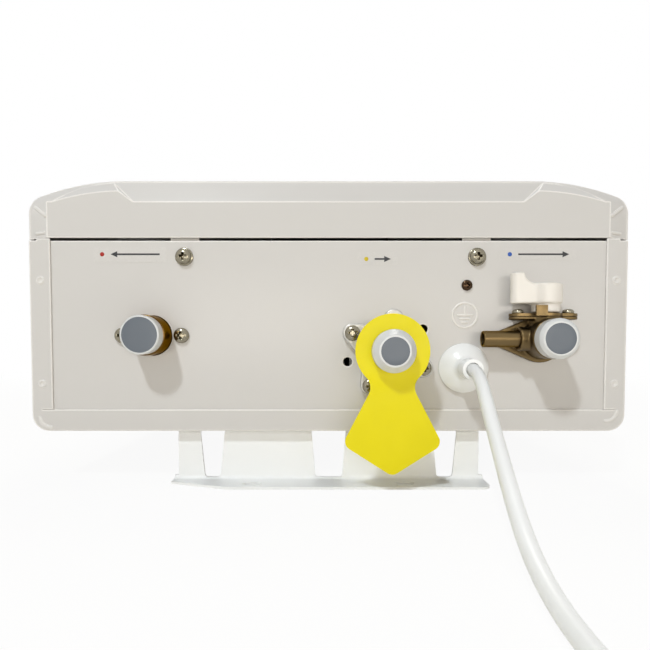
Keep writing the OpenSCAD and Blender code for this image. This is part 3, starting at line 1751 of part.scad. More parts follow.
rear_casing();
bottom_panel();
top_panel();
front_cover();
display_lens();
display_housing();
wall_bracket_lower();
wall_bracket_upper();
cover_screws();
earth_screw();
hot_outlet();
hot_outlet_screws();
hot_dust_cap();
gas_inlet();
gas_inlet_screws();
gas_dust_cap();
gas_tag();
cold_valve_body();
cold_valve_screws();
valve_bonnet();
bonnet_screws();
valve_stem();
valve_knob();
drain_tube();
cold_dust_cap();
cord_gland();
gland_nut();
power_cord();
cord_coil();
cord_tie();
plug_body();
plug_blades();
flow_sensor_body();
flow_guides();
flow_rotor();
cold_pipe();
hot_pipe();
combustion_chamber();
heat_exchanger_fins();
heat_exchanger_coil();
burner_tray();
burner_bars();
gas_manifold();
gas_nozzles();
gas_valve();
gas_valve_coils();
gas_riser();
electrodes();
fan_housing();
fan_motor();
fan_shaft();
fan_impeller();
flue_hood();
flue_collar();
flue_gasket();
flue_screws();
control_box();
control_board();
igniter();
chamber_rails();
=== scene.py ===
"""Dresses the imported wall-hung gas water heater: finishes, small pressed details, cord and stage."""
import math

import bmesh
import bpy
from bpy.props import FloatProperty, FloatVectorProperty, PointerProperty
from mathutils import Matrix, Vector
from mathutils.bvhtree import BVHTree


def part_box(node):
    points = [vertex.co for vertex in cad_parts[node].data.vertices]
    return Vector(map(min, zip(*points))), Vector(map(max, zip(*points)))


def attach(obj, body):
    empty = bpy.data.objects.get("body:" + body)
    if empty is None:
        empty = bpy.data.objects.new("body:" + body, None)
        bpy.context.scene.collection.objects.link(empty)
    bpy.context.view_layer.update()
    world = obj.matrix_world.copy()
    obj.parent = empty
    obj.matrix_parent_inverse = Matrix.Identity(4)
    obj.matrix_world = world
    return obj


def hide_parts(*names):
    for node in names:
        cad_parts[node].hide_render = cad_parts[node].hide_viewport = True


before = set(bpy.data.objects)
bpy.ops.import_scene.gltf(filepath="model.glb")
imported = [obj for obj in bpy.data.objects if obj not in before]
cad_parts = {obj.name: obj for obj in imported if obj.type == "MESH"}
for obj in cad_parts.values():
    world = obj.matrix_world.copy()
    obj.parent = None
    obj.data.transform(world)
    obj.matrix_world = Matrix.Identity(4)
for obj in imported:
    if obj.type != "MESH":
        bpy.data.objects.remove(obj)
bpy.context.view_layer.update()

bl_info = {
    "name": "Gas water heater dressing",
    "version": (1, 0, 0),
    "blender": (4, 5, 0),
    "location": "View3D > Sidebar > Heater",
    "description": "Finishes, pressed details, mains cord and stage for a wall-hung gas water heater",
    "category": "Object",
}

MM = 0.001


def srgb(red, green, blue):
    """A colour given as it looks, from 0 to 255, as the linear numbers that Blender works with."""
    def linear(value):
        value /= 255
        return value / 12.92 if value <= 0.04045 else ((value + 0.055) / 1.055) ** 2.4
    return (linear(red), linear(green), linear(blue))


def middle(node):
    """The middle of a node's box."""
    low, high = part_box(node)
    return (low + high) / 2


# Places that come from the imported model
PANEL_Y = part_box("bottom_panel")[0].y
HOT = middle("hot_dust_cap")
GAS = middle("gas_dust_cap")
KNOB = middle("valve_stem")
OUT = Vector((0, -1, 0))
UP = Vector((0, 0, 1))

# Faces round a turned piece
ROUND_STEPS = 48
SMALL_STEPS = 24

# Points of a node that lie closer than this are one point
WELD_GAP = 0.001 * MM

# How far the edges of a piece are rounded
CARD_ROUND = 0.2 * MM
FINE_ROUND = 0.3 * MM
PIPE_ROUND = 0.4 * MM
CAP_ROUND = 0.5 * MM
GLAND_ROUND = 0.6 * MM
PLUG_ROUND = 0.8 * MM

# The camera stands where the photograph's perspective puts it
CAMERA_PLACE = Vector((2.1, -594.5, 83.8)) * MM
SENSOR_WIDTH = 36.0
LENS = 27.03
CAMERA_PITCH = math.radians(2.1)
IMAGE_WIDTH = 650
LEVEL_PIXEL = (332, 345)
CAMERA_NEAR = 10 * MM

# Middle line of the cord's free stretch, in millimetres, from the gland to the coil
CORD_ROUTE = [
    (81, -317.5, 70), (81, -323, 70), (81, -331, 68), (80.6, -338, 64.4), (80, -346, 58.8),
    (79.2, -356, 51), (78.2, -368, 42.2), (76.8, -381, 34), (75.1, -395, 26), (73.6, -409, 18.4),
    (72.4, -422, 12.2), (71.4, -436, 7.6), (70.6, -450, 5), (70.1, -464, 4), (70, -480, 3.8),
    (70, -500, 3.8), (70, -520, 3.8), (70, -541, 3.8),
]
# The coil, in millimetres: its middle and outer radius, the steps between turns and between its two layers,
# the turns, the points on each, the turns that it climbs over, its lowest height and the lead to the plug
COIL_MIDDLE = (21.5, -549)
COIL_RADIUS = 48.5
COIL_PITCH = 7.7
COIL_LIFT = 7.7
COIL_TURNS = 5.25
COIL_STEPS = 24
COIL_CLIMB = 0.5
COIL_FLOOR = 3.8
COIL_LEAD = 8


class HeaterSizes(bpy.types.PropertyGroup):
    """Sizes that a user would change."""
    cord_diameter: FloatProperty(
        name="Cord diameter", description="Outside diameter of the mains cord",
        default=0.007, min=0.005, max=0.009, unit="LENGTH")
    cord_length: FloatProperty(
        name="Cord length", description="Length of the mains cord from gland to plug",
        default=1.521, min=1.0, max=2.0, unit="LENGTH")
    sheet_round: FloatProperty(
        name="Sheet edge", description="Rounding along the edges of the pressed sheet",
        default=0.0004, min=0.0001, max=0.0008, unit="LENGTH")
    cast_grain: FloatProperty(
        name="Cast grain", description="Size of the soft rounding on cast and moulded pieces",
        default=0.00045, min=0.0003, max=0.001, unit="LENGTH")
    emboss: FloatProperty(
        name="Emboss height", description="Height of the pressed sign on the lower panel",
        default=0.0005, min=0.0002, max=0.001, unit="LENGTH")


class HeaterColours(bpy.types.PropertyGroup):
    """Colours of the finishes."""
    coat: FloatVectorProperty(
        name="Coat", description="Powder coat of casing and cover",
        subtype="COLOR", size=3, min=0, max=1, default=srgb(214, 210, 205))
    bracket: FloatVectorProperty(
        name="Bracket coat", description="Coat of the wall brackets",
        subtype="COLOR", size=3, min=0, max=1, default=srgb(250, 250, 248))
    brass: FloatVectorProperty(
        name="Brass", description="Aged brass of the water pipe ends",
        subtype="COLOR", size=3, min=0, max=1, default=srgb(106, 89, 60))
    tag: FloatVectorProperty(
        name="Tag", description="Yellow card of the hang tag",
        subtype="COLOR", size=3, min=0, max=1, default=srgb(240, 223, 2))
    knob: FloatVectorProperty(
        name="Knob", description="Moulded lever knob",
        subtype="COLOR", size=3, min=0, max=1, default=srgb(243, 236, 226))
    cord: FloatVectorProperty(
        name="Cord", description="Sheath of cord, gland and plug",
        subtype="COLOR", size=3, min=0, max=1, default=srgb(251, 251, 249))


class StageLook(bpy.types.PropertyGroup):
    """Light and floor."""
    key: FloatProperty(
        name="Key light", description="Power of the small key light",
        default=16.0, min=0, unit="POWER")
    fill: FloatProperty(
        name="Fill light", description="Power of the wide light in front",
        default=11.0, min=0, unit="POWER")
    top: FloatProperty(
        name="Top light", description="Power of the soft light overhead",
        default=26.0, min=0, unit="POWER")
    sky: FloatProperty(
        name="Sky", description="Strength of the soft light from all round",
        default=0.31, min=0, max=1)


def sizes():
    """The sizes set in the sidebar."""
    return bpy.context.scene.heater_sizes


def colours():
    """The colours set in the sidebar."""
    return bpy.context.scene.heater_colours


def shaded(colour, factor):
    """A colour made darker or paler by a factor."""
    return tuple(min(1.0, channel * factor) for channel in colour)


def ranged(tree, source, start, end, low, high):
    """A node that turns a value between start and end into one between low and high."""
    node = tree.nodes.new("ShaderNodeMapRange")
    for key, value in (("From Min", start), ("From Max", end), ("To Min", low), ("To Max", high)):
        node.inputs[key].default_value = value
    tree.links.new(source, node.inputs["Value"])
    return node.outputs["Result"]


class Finish:
    """A procedural material, built up from noise over the part's own coordinates."""

    NOISE_ROUGHNESS = 0.55
    BEVEL_SAMPLES = 6
    # The cosine of the turn at which the painted highlight on folds starts and at which it is full
    FOLD_HIGHLIGHT_TURN = (0.9998, 0.996)
    # The range of Blender's pointiness from hollow to raised
    EDGE_POINTINESS = (0.44, 0.58)

    def __init__(self, name, **sockets):
        self.material = bpy.data.materials.new(name)
        self.material.use_nodes = True
        self.tree = self.material.node_tree
        self.shader = self.tree.nodes["Principled BSDF"]
        for key, value in sockets.items():
            self.shader.inputs[key.replace("_", " ")].default_value = value
        self.place = self.tree.nodes.new("ShaderNodeTexCoord").outputs["Object"]

    def add(self, kind):
        """A new node."""
        return self.tree.nodes.new(kind)

    def join(self, source, target):
        """Links an output to an input."""
        self.tree.links.new(source, target)

    def stretched(self, scale):
        """The part's coordinates, scaled along each axis."""
        mapping = self.add("ShaderNodeMapping")
        mapping.inputs["Scale"].default_value = scale
        self.join(self.place, mapping.inputs["Vector"])
        return mapping.outputs["Vector"]

    def noise(self, size, detail=3, stretch=None):
        """Cloudy noise with features of that size in metres."""
        node = self.add("ShaderNodeTexNoise")
        node.inputs["Scale"].default_value = 1 / size
        node.inputs["Detail"].default_value = detail
        node.inputs["Roughness"].default_value = self.NOISE_ROUGHNESS
        self.join(self.stretched(stretch) if stretch else self.place, node.inputs["Vector"])
        return node.outputs["Fac"]

    def spread(self, factor, low, high, start=0.3, end=0.7):
        """Noise between start and end as a number between low and high."""
        return ranged(self.tree, factor, start, end, low, high)

    def mix(self, factor, first, second):
        """A colour between two colours or colour sockets."""
        node = self.add("ShaderNodeMix")
        node.data_type = "RGBA"
        self.join(factor, node.inputs[0])
        for value, socket in ((first, node.inputs[6]), (second, node.inputs[7])):
            if isinstance(value, bpy.types.NodeSocket):
                self.join(value, socket)
            else:
                socket.default_value = (*value, 1)
        return node.outputs[2]

    def mottle(self, colour, size, low, high, detail=3, stretch=None):
        """A colour that wanders between two shades of itself, in clouds of that size."""
        return self.mix(self.noise(size, detail, stretch), shaded(colour, low), shaded(colour, high))

    def colour(self, source):
        """Sets the base colour."""
        self.join(source, self.shader.inputs["Base Color"])

    def sheen(self, size, low, high):
        """Sets a roughness that wanders between two values, in clouds of that size."""
        self.join(self.spread(self.noise(size), low, high), self.shader.inputs["Roughness"])

    def grain(self, size, depth, detail=2, stretch=None):
        """Adds fine relief of that size and depth over any relief that is there already."""
        node = self.add("ShaderNodeBump")
        node.inputs["Distance"].default_value = depth
        self.join(self.noise(size, detail, stretch), node.inputs["Height"])
        normal = self.shader.inputs["Normal"]
        if normal.is_linked:
            self.join(normal.links[0].from_socket, node.inputs["Normal"])
        self.join(node.outputs["Normal"], normal)

    def round_edges(self, radius):
        """Sharp edges and creases catch the light as if rounded by that radius.

        Gives a factor of one on them, which marks where a highlight is painted along them."""
        node = self.add("ShaderNodeBevel")
        node.samples = self.BEVEL_SAMPLES
        node.inputs["Radius"].default_value = radius
        rounded = node.outputs["Normal"]
        self.join(rounded, self.shader.inputs["Normal"])
        flat = self.add("ShaderNodeNewGeometry")
        both = self.add("ShaderNodeVectorMath")
        both.operation = "DOT_PRODUCT"
        self.join(rounded, both.inputs[0])
        self.join(flat.outputs["Normal"], both.inputs[1])
        return self.spread(both.outputs["Value"], 0, 1, *self.FOLD_HIGHLIGHT_TURN)

    def edges(self):
        """A factor of one where the surface is raised and of nought where it is hollow."""
        node = self.add("ShaderNodeNewGeometry")
        return self.spread(node.outputs["Pointiness"], 0, 1, *self.EDGE_POINTINESS)


def powder_coat(name, colour, fold_highlight=0.0, gloss=0.2):
    """Sprayed powder coat: fine orange peel, even tone, with a highlight painted paler along folds of that
    radius.
    """
    finish = Finish(name, Specular_IOR_Level=gloss, Coat_Weight=gloss, Coat_Roughness=0.16)
    tone = finish.mottle(colour, size=140 * MM, low=0.996, high=1.004)
    if fold_highlight:
        # Painted highlight: the coat is made paler along folds and creases
        tone = finish.mix(finish.round_edges(fold_highlight), tone, shaded(colour, 1.4))
    finish.colour(tone)
    finish.sheen(size=50 * MM, low=0.29, high=0.34)
    finish.grain(size=1.6 * MM, depth=0.004 * MM)
    finish.grain(size=80 * MM, depth=0.08 * MM)
    return finish.material


def cast_brass(name, colour):
    """Old cast brass: brown film, brighter where it is handled, a sandy skin."""
    finish = Finish(name, Metallic=1.0)
    film = finish.mottle(colour, size=8 * MM, low=0.4, high=0.9, detail=5)
    finish.colour(finish.mix(finish.edges(), film, shaded(colour, 1.4)))
    finish.sheen(size=4 * MM, low=0.29, high=0.44)
    finish.grain(size=1.2 * MM, depth=0.02 * MM, detail=3)
    return finish.material


def turned_brass(name, colour, stretch, sheen=(0.18, 0.26)):
    """Brass turned on a lathe: fine rings along the axis under a brown film."""
    finish = Finish(name, Metallic=1.0, Specular_Tint=(0.7, 0.53, 0.3, 1))
    finish.colour(finish.mottle(colour, size=9 * MM, low=0.5, high=1.1, detail=4, stretch=stretch))
    finish.sheen(6 * MM, *sheen)
    finish.grain(size=0.8 * MM, depth=0.0015 * MM, stretch=stretch)
    return finish.material


def plated_screw(name, colour):
    """Plated steel with a faint yellow cast and small scuffs."""
    finish = Finish(name, Metallic=1.0)
    finish.colour(finish.mottle(colour, size=2.4 * MM, low=0.5, high=1.15, detail=4))
    finish.sheen(size=1.5 * MM, low=0.16, high=0.26)
    finish.grain(size=0.6 * MM, depth=0.008 * MM)
    return finish.material


def cast_alloy(name, colour):
    """Die-cast alloy: grey, slightly sparkling skin with soft highlights on its edges."""
    finish = Finish(name, Metallic=0.9)
    skin = finish.mottle(colour, size=4 * MM, low=0.7, high=1.05, detail=5)
    finish.colour(finish.mix(finish.edges(), skin, shaded(colour, 1.25)))
    finish.sheen(size=2 * MM, low=0.3, high=0.5)
    finish.grain(size=0.7 * MM, depth=0.04 * MM, detail=3)
    return finish.material


def milky_plastic(name, colour):
    """Thin translucent polythene: cloudy, with fine flow lines from the mould."""
    finish = Finish(name, Transmission_Weight=0.1, IOR=1.5, Subsurface_Weight=0.25,
                    Subsurface_Radius=(4 * MM, 4 * MM, 4 * MM), Subsurface_Scale=0.3)
    finish.colour(finish.mottle(colour, size=8 * MM, low=0.95, high=1.02))
    finish.sheen(size=6 * MM, low=0.18, high=0.26)
    finish.round_edges(0.6 * MM)
    finish.grain(size=4 * MM, depth=0.012 * MM, stretch=(1, 0.2, 1))
    return finish.material


def moulded_plastic(name, colour, rough=0.3, grain=0.7 * MM, depth=0.01 * MM):
    """Injection moulded plastic: even tone, very fine texture."""
    finish = Finish(name, Specular_IOR_Level=0.5)
    finish.colour(finish.mottle(colour, size=12 * MM, low=0.985, high=1.015, detail=4))
    finish.sheen(size=4 * MM, low=rough * 0.95, high=rough * 1.2)
    finish.grain(grain, depth)
    return finish.material


def tag_card(name, colour):
    """Glossy yellow card with a slight wave and faint mottling."""
    finish = Finish(name, Specular_IOR_Level=0.25)
    finish.colour(finish.mottle(colour, size=10 * MM, low=0.98, high=1.02))
    finish.sheen(size=5 * MM, low=0.3, high=0.42)
    finish.grain(size=20 * MM, depth=0.4 * MM)
    finish.grain(size=0.6 * MM, depth=0.008 * MM)
    return finish.material


def rolled_metal(name, colour, spangle=12 * MM):
    """Rolled or drawn sheet and tube: streaks along its length and soft spangle."""
    along = (1, 8, 1)
    finish = Finish(name, Metallic=1.0)
    cloud = finish.mottle(colour, spangle, low=0.8, high=1.1, detail=4)
    finish.colour(finish.mix(finish.noise(2 * MM, stretch=along), shaded(colour, 0.85), cloud))
    finish.sheen(spangle / 2, low=0.29, high=0.45)
    finish.grain(size=1 * MM, depth=0.01 * MM, stretch=along)
    return finish.material


def lens_glass(name):
    """Dark smooth lens over the display, with a trace of handling."""
    finish = Finish(name, Specular_IOR_Level=0.25, Coat_Weight=0.25, Coat_Roughness=0.03)
    finish.colour(finish.mix(finish.noise(30 * MM), srgb(10, 11, 13), srgb(17, 18, 21)))
    finish.sheen(size=20 * MM, low=0.05, high=0.12)
    return finish.material


def printed_ink(name, colour):
    """Printed mark: flat ink with a slightly uneven lay."""
    finish = Finish(name, Specular_IOR_Level=0.3)
    finish.colour(finish.mottle(colour, size=1 * MM, low=0.9, high=1.05))
    finish.sheen(size=2 * MM, low=0.4, high=0.6)
    return finish.material


def ceramic(name, colour):
    """Fired ceramic with a thin glaze."""
    finish = Finish(name, Coat_Weight=0.4, Coat_Roughness=0.15)
    finish.colour(finish.mottle(colour, size=3 * MM, low=0.9, high=1, detail=4))
    finish.sheen(size=2 * MM, low=0.3, high=0.5)
    return finish.material


def paint(name, material):
    """Gives a carried-over node its finish."""
    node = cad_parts[name]
    if node.material_slots:
        for place in node.material_slots:
            place.material = material
    else:
        node.data.materials.append(material)
    return node


def soften(node, width=FINE_ROUND, segments=2, angle=30):
    """Closes a node's split edges and rounds its sharp ones."""
    weld = node.modifiers.new("Weld", "WELD")
    weld.merge_threshold = WELD_GAP
    bevel = node.modifiers.new("Round", "BEVEL")
    bevel.width = width
    bevel.segments = segments
    bevel.limit_method = "ANGLE"
    bevel.angle_limit = math.radians(angle)
    normals = node.modifiers.new("Normals", "WEIGHTED_NORMAL")
    normals.keep_sharp = False
    return node


def cast_round(node, voxel, passes):
    """Rounds all edges of a cast or moulded node, as its mould would."""
    weld = node.modifiers.new("Weld", "WELD")
    weld.merge_threshold = WELD_GAP
    remesh = node.modifiers.new("Even", "REMESH")
    remesh.mode = "VOXEL"
    remesh.voxel_size = voxel
    remesh.use_smooth_shade = True
    smooth = node.modifiers.new("Round", "SMOOTH")
    smooth.factor = 0.5
    smooth.iterations = passes
    return node


def piece(name, mesh, body, material, smooth=True):
    """A new piece of the part, in place, that rides on a body."""
    thing = bpy.data.objects.new(name, mesh)
    bpy.context.scene.collection.objects.link(thing)
    if hasattr(mesh, "polygons"):
        mesh.polygons.foreach_set("use_smooth", [smooth] * len(mesh.polygons))
    mesh.materials.append(material)
    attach(thing, body)
    return thing


def mesh_of(build, name):
    """A mesh made by a function that fills a bmesh."""
    bm = bmesh.new()
    build(bm)
    bmesh.ops.recalc_face_normals(bm, faces=bm.faces)
    mesh = bpy.data.meshes.new(name)
    bm.to_mesh(mesh)
    bm.free()
    return mesh


def across(axis):
    """Two directions square to an axis and to each other."""
    side = Vector((1, 0, 0)) if abs(axis.x) < 0.9 else Vector((0, 1, 0))
    second = axis.cross(side).normalized()
    return second.cross(axis).normalized(), second


def turn(bm, profile, place, axis=OUT, count=ROUND_STEPS):
    """Turns a profile of radius and height pairs about an axis through place."""
    side, second = across(axis)
    rings = []
    for radius, height in profile:
        centre = place + axis * height
        if not radius:
            rings.append([bm.verts.new(centre)])
            continue
        rings.append([
            bm.verts.new(centre + (side * math.cos(a) + second * math.sin(a)) * radius)
            for a in (2 * math.pi * i / count for i in range(count))
        ])
    for first, last in zip(rings, rings[1:]):
        if len(first) == 1 and len(last) == 1:
            continue
        for i in range(count):
            k = (i + 1) % count
            if len(first) == 1:
                bm.faces.new((first[0], last[i], last[k]))
            elif len(last) == 1:
                bm.faces.new((first[i], first[k], last[0]))
            else:
                bm.faces.new((first[i], first[k], last[k], last[i]))


def slab(bm, outline, y, thick):
    """A flat plate in X and Z whose back lies at y and whose front stands out of the panel."""
    back = [bm.verts.new((x, y, z)) for x, z in outline]
    front = [bm.verts.new((x, y - thick, z)) for x, z in outline]
    bm.faces.new(front)
    bm.faces.new(list(reversed(back)))
    for i in range(len(outline)):
        k = (i + 1) % len(outline)
        bm.faces.new((back[i], back[k], front[k], front[i]))


def rounded_outline(x0, x1, z0, z1, radius):
    """Corner points of a rectangle with round corners."""
    steps = 6
    points = []
    for cx, cz, start in ((x1 - radius, z1 - radius, 0), (x0 + radius, z1 - radius, 90),
                          (x0 + radius, z0 + radius, 180), (x1 - radius, z0 + radius, 270)):
        for i in range(steps + 1):
            a = math.radians(start + 90 * i / steps)
            points.append((cx + radius * math.cos(a), cz + radius * math.sin(a)))
    return points


def bead(bm, path, half_width, height, normal, closed=False, sides=8):
    """A low round ridge along a path on a face, as a press leaves it in sheet."""
    end_scales = (0.25, 0.6, 0.85)
    count = len(path)
    rings = []

    def ring(centre, side, scale):
        wide, high = side * (half_width * scale), normal * (height * scale)
        return [
            bm.verts.new(centre + wide * math.cos(a) + high * math.sin(a))
            for a in (math.pi * i / sides for i in range(sides + 1))
        ]

    for i, point in enumerate(path):
        before = path[i - 1] if closed or i else path[0]
        after = path[(i + 1) % count] if closed or i < count - 1 else path[-1]
        tangent = (after - before).normalized()
        side = tangent.cross(normal).normalized()
        if not closed and i == 0:
            for k in end_scales:
                reach = half_width * math.sqrt(1 - k * k)
                rings.append(ring(point - tangent * reach, side, k))
        rings.append(ring(point, side, 1))
        if not closed and i == count - 1:
            for k in reversed(end_scales):
                reach = half_width * math.sqrt(1 - k * k)
                rings.append(ring(point + tangent * reach, side, k))
    pairs = list(zip(rings, rings[1:])) + ([(rings[-1], rings[0])] if closed else [])
    for first, last in pairs:
        for i in range(sides):
            bm.faces.new((first[i], first[i + 1], last[i + 1], last[i]))
    if not closed:
        bm.faces.new(rings[0])
        bm.faces.new(list(reversed(rings[-1])))


def cut_cross(thing, heads, axis, reach, width, depth):
    """Cuts a cross recess into each head: heads are the middles of their tops."""
    above, taper = 0.2, 0.55
    side, second = across(axis)
    bm = bmesh.new()
    for top in heads:
        for along, over in ((side, second), (second, side)):
            corners = []
            for height, scale in ((depth * above, 1.0), (-depth, taper)):
                for sx, sy in ((-1, -1), (1, -1), (1, 1), (-1, 1)):
                    offset = along * (sx * reach * scale) + over * (sy * width * scale)
                    corners.append(bm.verts.new(top + offset + axis * height))
            bm.faces.new(corners[:4])
            bm.faces.new(list(reversed(corners[4:])))
            for i in range(4):
                k = (i + 1) % 4
                bm.faces.new((corners[i], corners[k], corners[4 + k], corners[4 + i]))
    bmesh.ops.recalc_face_normals(bm, faces=bm.faces)
    mesh = bpy.data.meshes.new("cross_cutter")
    bm.to_mesh(mesh)
    bm.free()
    cutter = bpy.data.objects.new("cross_cutter", mesh)
    bpy.context.scene.collection.objects.link(cutter)
    cut = thing.modifiers.new("Cross", "BOOLEAN")
    cut.operation = "DIFFERENCE"
    cut.solver = "EXACT"
    cut.use_self = True
    cut.object = cutter
    bpy.context.view_layer.update()
    result = bpy.data.meshes.new_from_object(thing.evaluated_get(bpy.context.evaluated_depsgraph_get()))
    thing.modifiers.clear()
    thing.data = result
    bpy.data.objects.remove(cutter)


def pan_head(head_r, head_h, shank_r, shank_l, low=0.0):
    """Profile of a pan head and its shank, the head standing on low."""
    steps = 8
    crown = 0.9
    rim = 0.35 * head_h
    chamfer_h, chamfer_r = 0.1 * head_h, 0.94 * head_r
    points = [(0, low + head_h)]
    for i in range(1, steps + 1):
        a = math.radians(90 * i / steps)
        points.append((head_r * math.sin(a) ** crown, low + rim + (head_h - rim) * math.cos(a)))
    points += [(head_r, low + chamfer_h), (chamfer_r, low)]
    points += [(shank_r, low), (shank_r, -shank_l), (0, -shank_l)]
    return points


class HeaterOperator:
    """What every step here shares."""
    bl_options = {"REGISTER", "UNDO"}


class HEATER_OT_camera(HeaterOperator, bpy.types.Operator):
    """Stands the camera where the photograph was taken"""
    bl_idname = "heater.camera"
    bl_label = "Camera"

    def execute(self, context):
        data = bpy.data.cameras.new("camera")
        data.sensor_width = SENSOR_WIDTH
        data.lens = LENS
        data.shift_x = (IMAGE_WIDTH / 2 - LEVEL_PIXEL[0]) / IMAGE_WIDTH
        level = (LEVEL_PIXEL[1] - IMAGE_WIDTH / 2) / IMAGE_WIDTH
        data.shift_y = level + LENS / SENSOR_WIDTH * math.tan(CAMERA_PITCH)
        data.clip_start = CAMERA_NEAR
        camera = bpy.data.objects.new("camera", data)
        camera.location = CAMERA_PLACE
        camera.rotation_euler = (math.pi / 2 - CAMERA_PITCH, 0, 0)
        context.scene.collection.objects.link(camera)
        context.scene.camera = camera
        return {"FINISHED"}


class HEATER_OT_mains_cord(HeaterOperator, bpy.types.Operator):
    """Lays the mains cord from the gland to its coil and plug"""
    bl_idname = "heater.mains_cord"
    bl_label = "Mains cord"

    @staticmethod
    def coil_point(turns):
        """A place on the coil, which winds inwards on the floor, climbs, and winds outwards on top."""
        layer = (COIL_TURNS - COIL_CLIMB) / 2
        step = min(max((turns - layer) / COIL_CLIMB, 0), 1)
        radius = COIL_RADIUS - COIL_PITCH * min(turns, COIL_TURNS - turns)
        angle = -2 * math.pi * turns
        return (COIL_MIDDLE[0] + radius * math.cos(angle), COIL_MIDDLE[1] + radius * math.sin(angle),
                COIL_FLOOR + COIL_LIFT * (1 - math.cos(math.pi * step)) / 2)

    def execute(self, context):
        count = round(COIL_TURNS * COIL_STEPS)
        loops = [self.coil_point(i / COIL_STEPS) for i in range(count + 1)]
        end = (loops[-1][0] - COIL_LEAD, loops[-1][1], loops[-1][2])
        route = [Vector(p) * MM for p in CORD_ROUTE + loops + [end]]
        curve = bpy.data.curves.new("mains_cord", "CURVE")
        curve.dimensions = "3D"
        curve.bevel_depth = sizes().cord_diameter / 2
        curve.bevel_resolution = 5
        curve.resolution_u = 6
        curve.use_fill_caps = True
        spline = curve.splines.new("BEZIER")
        spline.bezier_points.add(len(route) - 1)
        for point, place in zip(spline.bezier_points, route):
            point.co = place
            point.handle_left_type = point.handle_right_type = "AUTO"
        sheath = moulded_plastic("cord_sheath", colours().cord, rough=0.34, grain=1.2 * MM, depth=0.02 * MM)
        cord = piece("mains_cord", curve, "heater", sheath)
        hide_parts("power_cord", "cord_coil")
        plug = soften(paint("plug_body", sheath), PLUG_ROUND, 3)
        blades = soften(paint("plug_blades", rolled_metal("plug_nickel", srgb(190, 185, 170))))
        tie = soften(paint("cord_tie", moulded_plastic("tie_black", srgb(28, 28, 30), rough=0.5)))
        soften(paint("cord_gland", moulded_plastic("gland_white", colours().cord, rough=0.2)), GLAND_ROUND, 3)
        paint("gland_nut", moulded_plastic("nut_grey", srgb(120, 122, 125), rough=0.4))
        return {"FINISHED"}


class HEATER_OT_casing(HeaterOperator, bpy.types.Operator):
    """Coats tray, cover and end panels"""
    bl_idname = "heater.casing"
    bl_label = "Casing"

    # Radius over which folds look rounded and carry a painted highlight
    TRAY_FOLD = 1.3 * MM
    COVER_FOLD = 1.2 * MM
    COVER_ANGLE = 12

    def execute(self, context):
        coat = powder_coat("white_coat", colours().coat, self.TRAY_FOLD)
        for name in ("rear_casing", "bottom_panel", "top_panel"):
            soften(paint(name, coat), sizes().sheet_round)
        pressed = powder_coat("cover_coat", colours().coat, self.COVER_FOLD)
        soften(paint("front_cover", pressed), sizes().sheet_round, angle=self.COVER_ANGLE)
        return {"FINISHED"}


